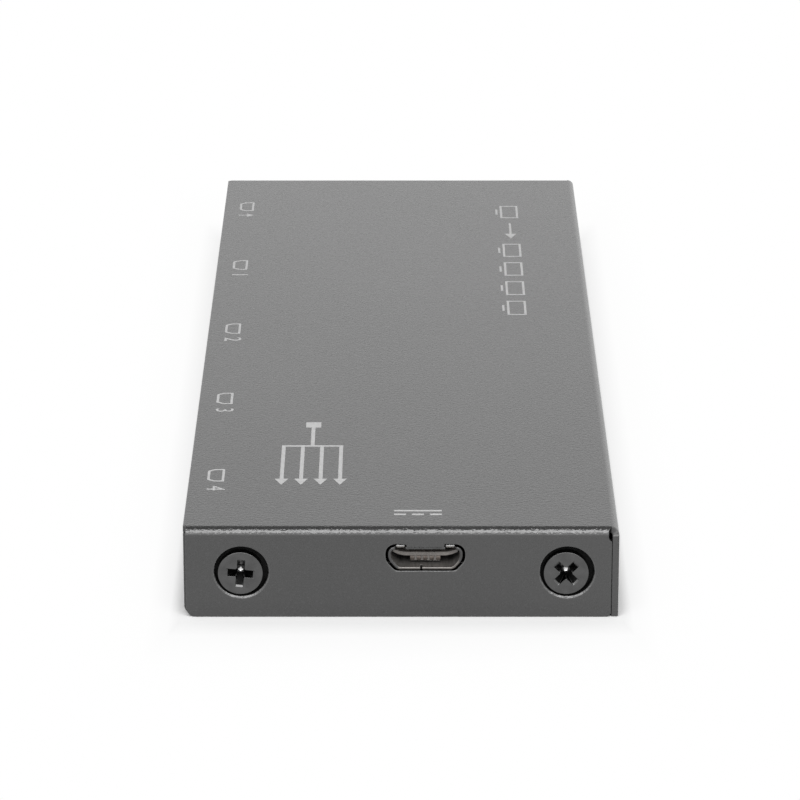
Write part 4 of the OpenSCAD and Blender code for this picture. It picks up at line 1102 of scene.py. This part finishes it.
def sign(*loops, radii=None):
    """Fills flat outlines: the first is the sign's edge, and any other is a hole in it."""
    edges = []
    for loop in loops:
        edges += outline(marks, [(x, y, 0) for x, y in loop], radii or (0,) * len(loop), 4)
    fill(marks, edges, (0, 0, 1))


def beside(x, y, points):
    """Points across and up, as someone reads them who looks at the socket side."""
    return [(x + up, y - across) for across, up in points]


def number(text, x, y, tall):
    """A number that reads from the socket side."""
    curve = bpy.data.curves.new("number", "FONT")
    curve.body = text
    curve.align_x, curve.align_y = "CENTER", "CENTER"
    curve.size = tall / FIGURE_SHARE
    figure = bpy.data.objects.new("number", curve)
    mesh = bpy.data.meshes.new_from_object(figure)
    before = set(marks.verts)
    marks.from_mesh(mesh)
    made = [v for v in marks.verts if v not in before]
    bmesh.ops.transform(marks, verts=made, matrix=Matrix.Translation((x, y, 0))
                        @ Matrix.Rotation(math.radians(-90), 4, "Z"))
    bpy.data.objects.remove(figure)
    bpy.data.curves.remove(curve)
    bpy.data.meshes.remove(mesh)


print("ink stands", INK_UP, "mm proud")

# %% Signs at the sockets
MARK_X, MARK_TALL, PEN = -19.0, 1.9, 0.26
SIGN, SIGN_ROUND, SIGN_OFF, NUMBER_OFF, ARROW_OFF = (3.3, 2.4, 1.5, 0.85), 0.15, 1.5, -2.2, -2.0
ARROW = [(PEN / 2, -0.95), (PEN / 2, 0.1), (0.65, 0.1), (0, 0.95)]
for text, y in zip(("4", "3", "2", "1", ""), socket_y):
    loops = [beside(MARK_X, y + SIGN_OFF, socket_corners(*SIGN, grow)) for grow in (PEN / 2, -PEN / 2)]
    sign(*loops, radii=(SIGN_ROUND,) * 6)
    if text:
        number(text, MARK_X, y + NUMBER_OFF, MARK_TALL)
    else:
        sign(beside(MARK_X, y + ARROW_OFF, ARROW + mirrored(ARROW[:3])))
print("signs at", len(socket_y), "sockets:", len(marks.faces), "faces")

# %% Sign at the power end
DC_LEFT, DC_RIGHT, DC_Y, DC_STEP, DC_TALL = -0.7, 4.1, -55.1, 1.0, 0.38


def rectangle(left, right, low, high):
    return [(left, low), (right, low), (right, high), (left, high)]


dash = (DC_RIGHT - DC_LEFT) / 4
bars = [(DC_LEFT, DC_RIGHT, DC_Y)]
bars += [(DC_LEFT + 1.5 * k * dash, DC_LEFT + (1.5 * k + 1) * dash, DC_Y - DC_STEP) for k in range(3)]
for left, right, y in bars:
    sign(rectangle(left, right, y - DC_TALL / 2, y + DC_TALL / 2))
print("direct current:", len(bars), "bars")

# %% Branching line
BRANCH_X, BRANCH_Y, BRANCH_PEN, OUTER, INNER = -9.25, -38.7, 0.2, -3, -1
START, PLUG_L, PLUG_HALF, FORK, TIP, HEAD, HEAD_HALF = -9.4, 1.6, 0.8, -2.2, 7.4, 1.7, 0.7


def branch(b):
    """The tip of one branch, and the way back to the fork."""
    return [(TIP, b - BRANCH_PEN), (TIP, b - HEAD_HALF), (TIP + HEAD, b), (TIP, b + HEAD_HALF),
            (TIP, b + BRANCH_PEN), (FORK + BRANCH_PEN, b + BRANCH_PEN)]


near = [(START, -PLUG_HALF), (START + PLUG_L, -PLUG_HALF), (START + PLUG_L, -BRANCH_PEN),
        (FORK - BRANCH_PEN, -BRANCH_PEN), (FORK - BRANCH_PEN, OUTER - BRANCH_PEN)]
near += branch(OUTER) + [(FORK + BRANCH_PEN, INNER - BRANCH_PEN)] + branch(INNER)
sign(beside(BRANCH_X, BRANCH_Y, near + [(a, -b) for a, b in reversed(near)]))
print("branching line:", 2 * len(near), "corners")

# %% Row of screens
ROW_X, ROW_Y, SCREEN_W, SCREEN_TALL, SCREEN_LOW, SCREEN_STEP = 13.3, 48.4, 5.0, 2.2, -1.1, 7.2
FOOT_HALF, FOOT_LOW, FOOT_HIGH, SECOND = 1.0, -1.65, -1.4, 15.4
SHAFT = [(7.2, -PEN / 2), (11.4, -PEN / 2), (11.4, -0.7), (13.2, 0)]


def screen(left):
    """A screen on its foot, in outline."""
    top, middle = SCREEN_LOW + SCREEN_TALL, left + SCREEN_W / 2
    loops = [rectangle(left + g, left + SCREEN_W - g, SCREEN_LOW + g, top - g) for g in (0, PEN)]
    sign(*[beside(ROW_X, ROW_Y, loop) for loop in loops])
    foot = rectangle(middle - FOOT_HALF, middle + FOOT_HALF, FOOT_LOW, FOOT_HIGH)
    sign(beside(ROW_X, ROW_Y, foot))


screen(0)
sign(beside(ROW_X, ROW_Y, SHAFT + [(a, -b) for a, b in reversed(SHAFT[:3])]))
for k in range(4):
    screen(SECOND + SCREEN_STEP * k)
print("marks so far:", len(marks.faces), "faces")

# %% Thickness of the ink
bmesh.ops.remove_doubles(marks, verts=marks.verts, dist=1e-4)
bmesh.ops.recalc_face_normals(marks, faces=marks.faces)
raised = bmesh.ops.extrude_face_region(marks, geom=marks.faces[:])["geom"]
bmesh.ops.translate(marks, verts=[g for g in raised if isinstance(g, bmesh.types.BMVert)],
                    vec=(0, 0, INK_UP + INK_DOWN))
bmesh.ops.recalc_face_normals(marks, faces=marks.faces)
bmesh.ops.translate(marks, verts=marks.verts, vec=(0, 0, height - INK_DOWN))
marks_piece = add_piece(marks, "printed_marks", [ink])
marks_piece.data.shade_flat()
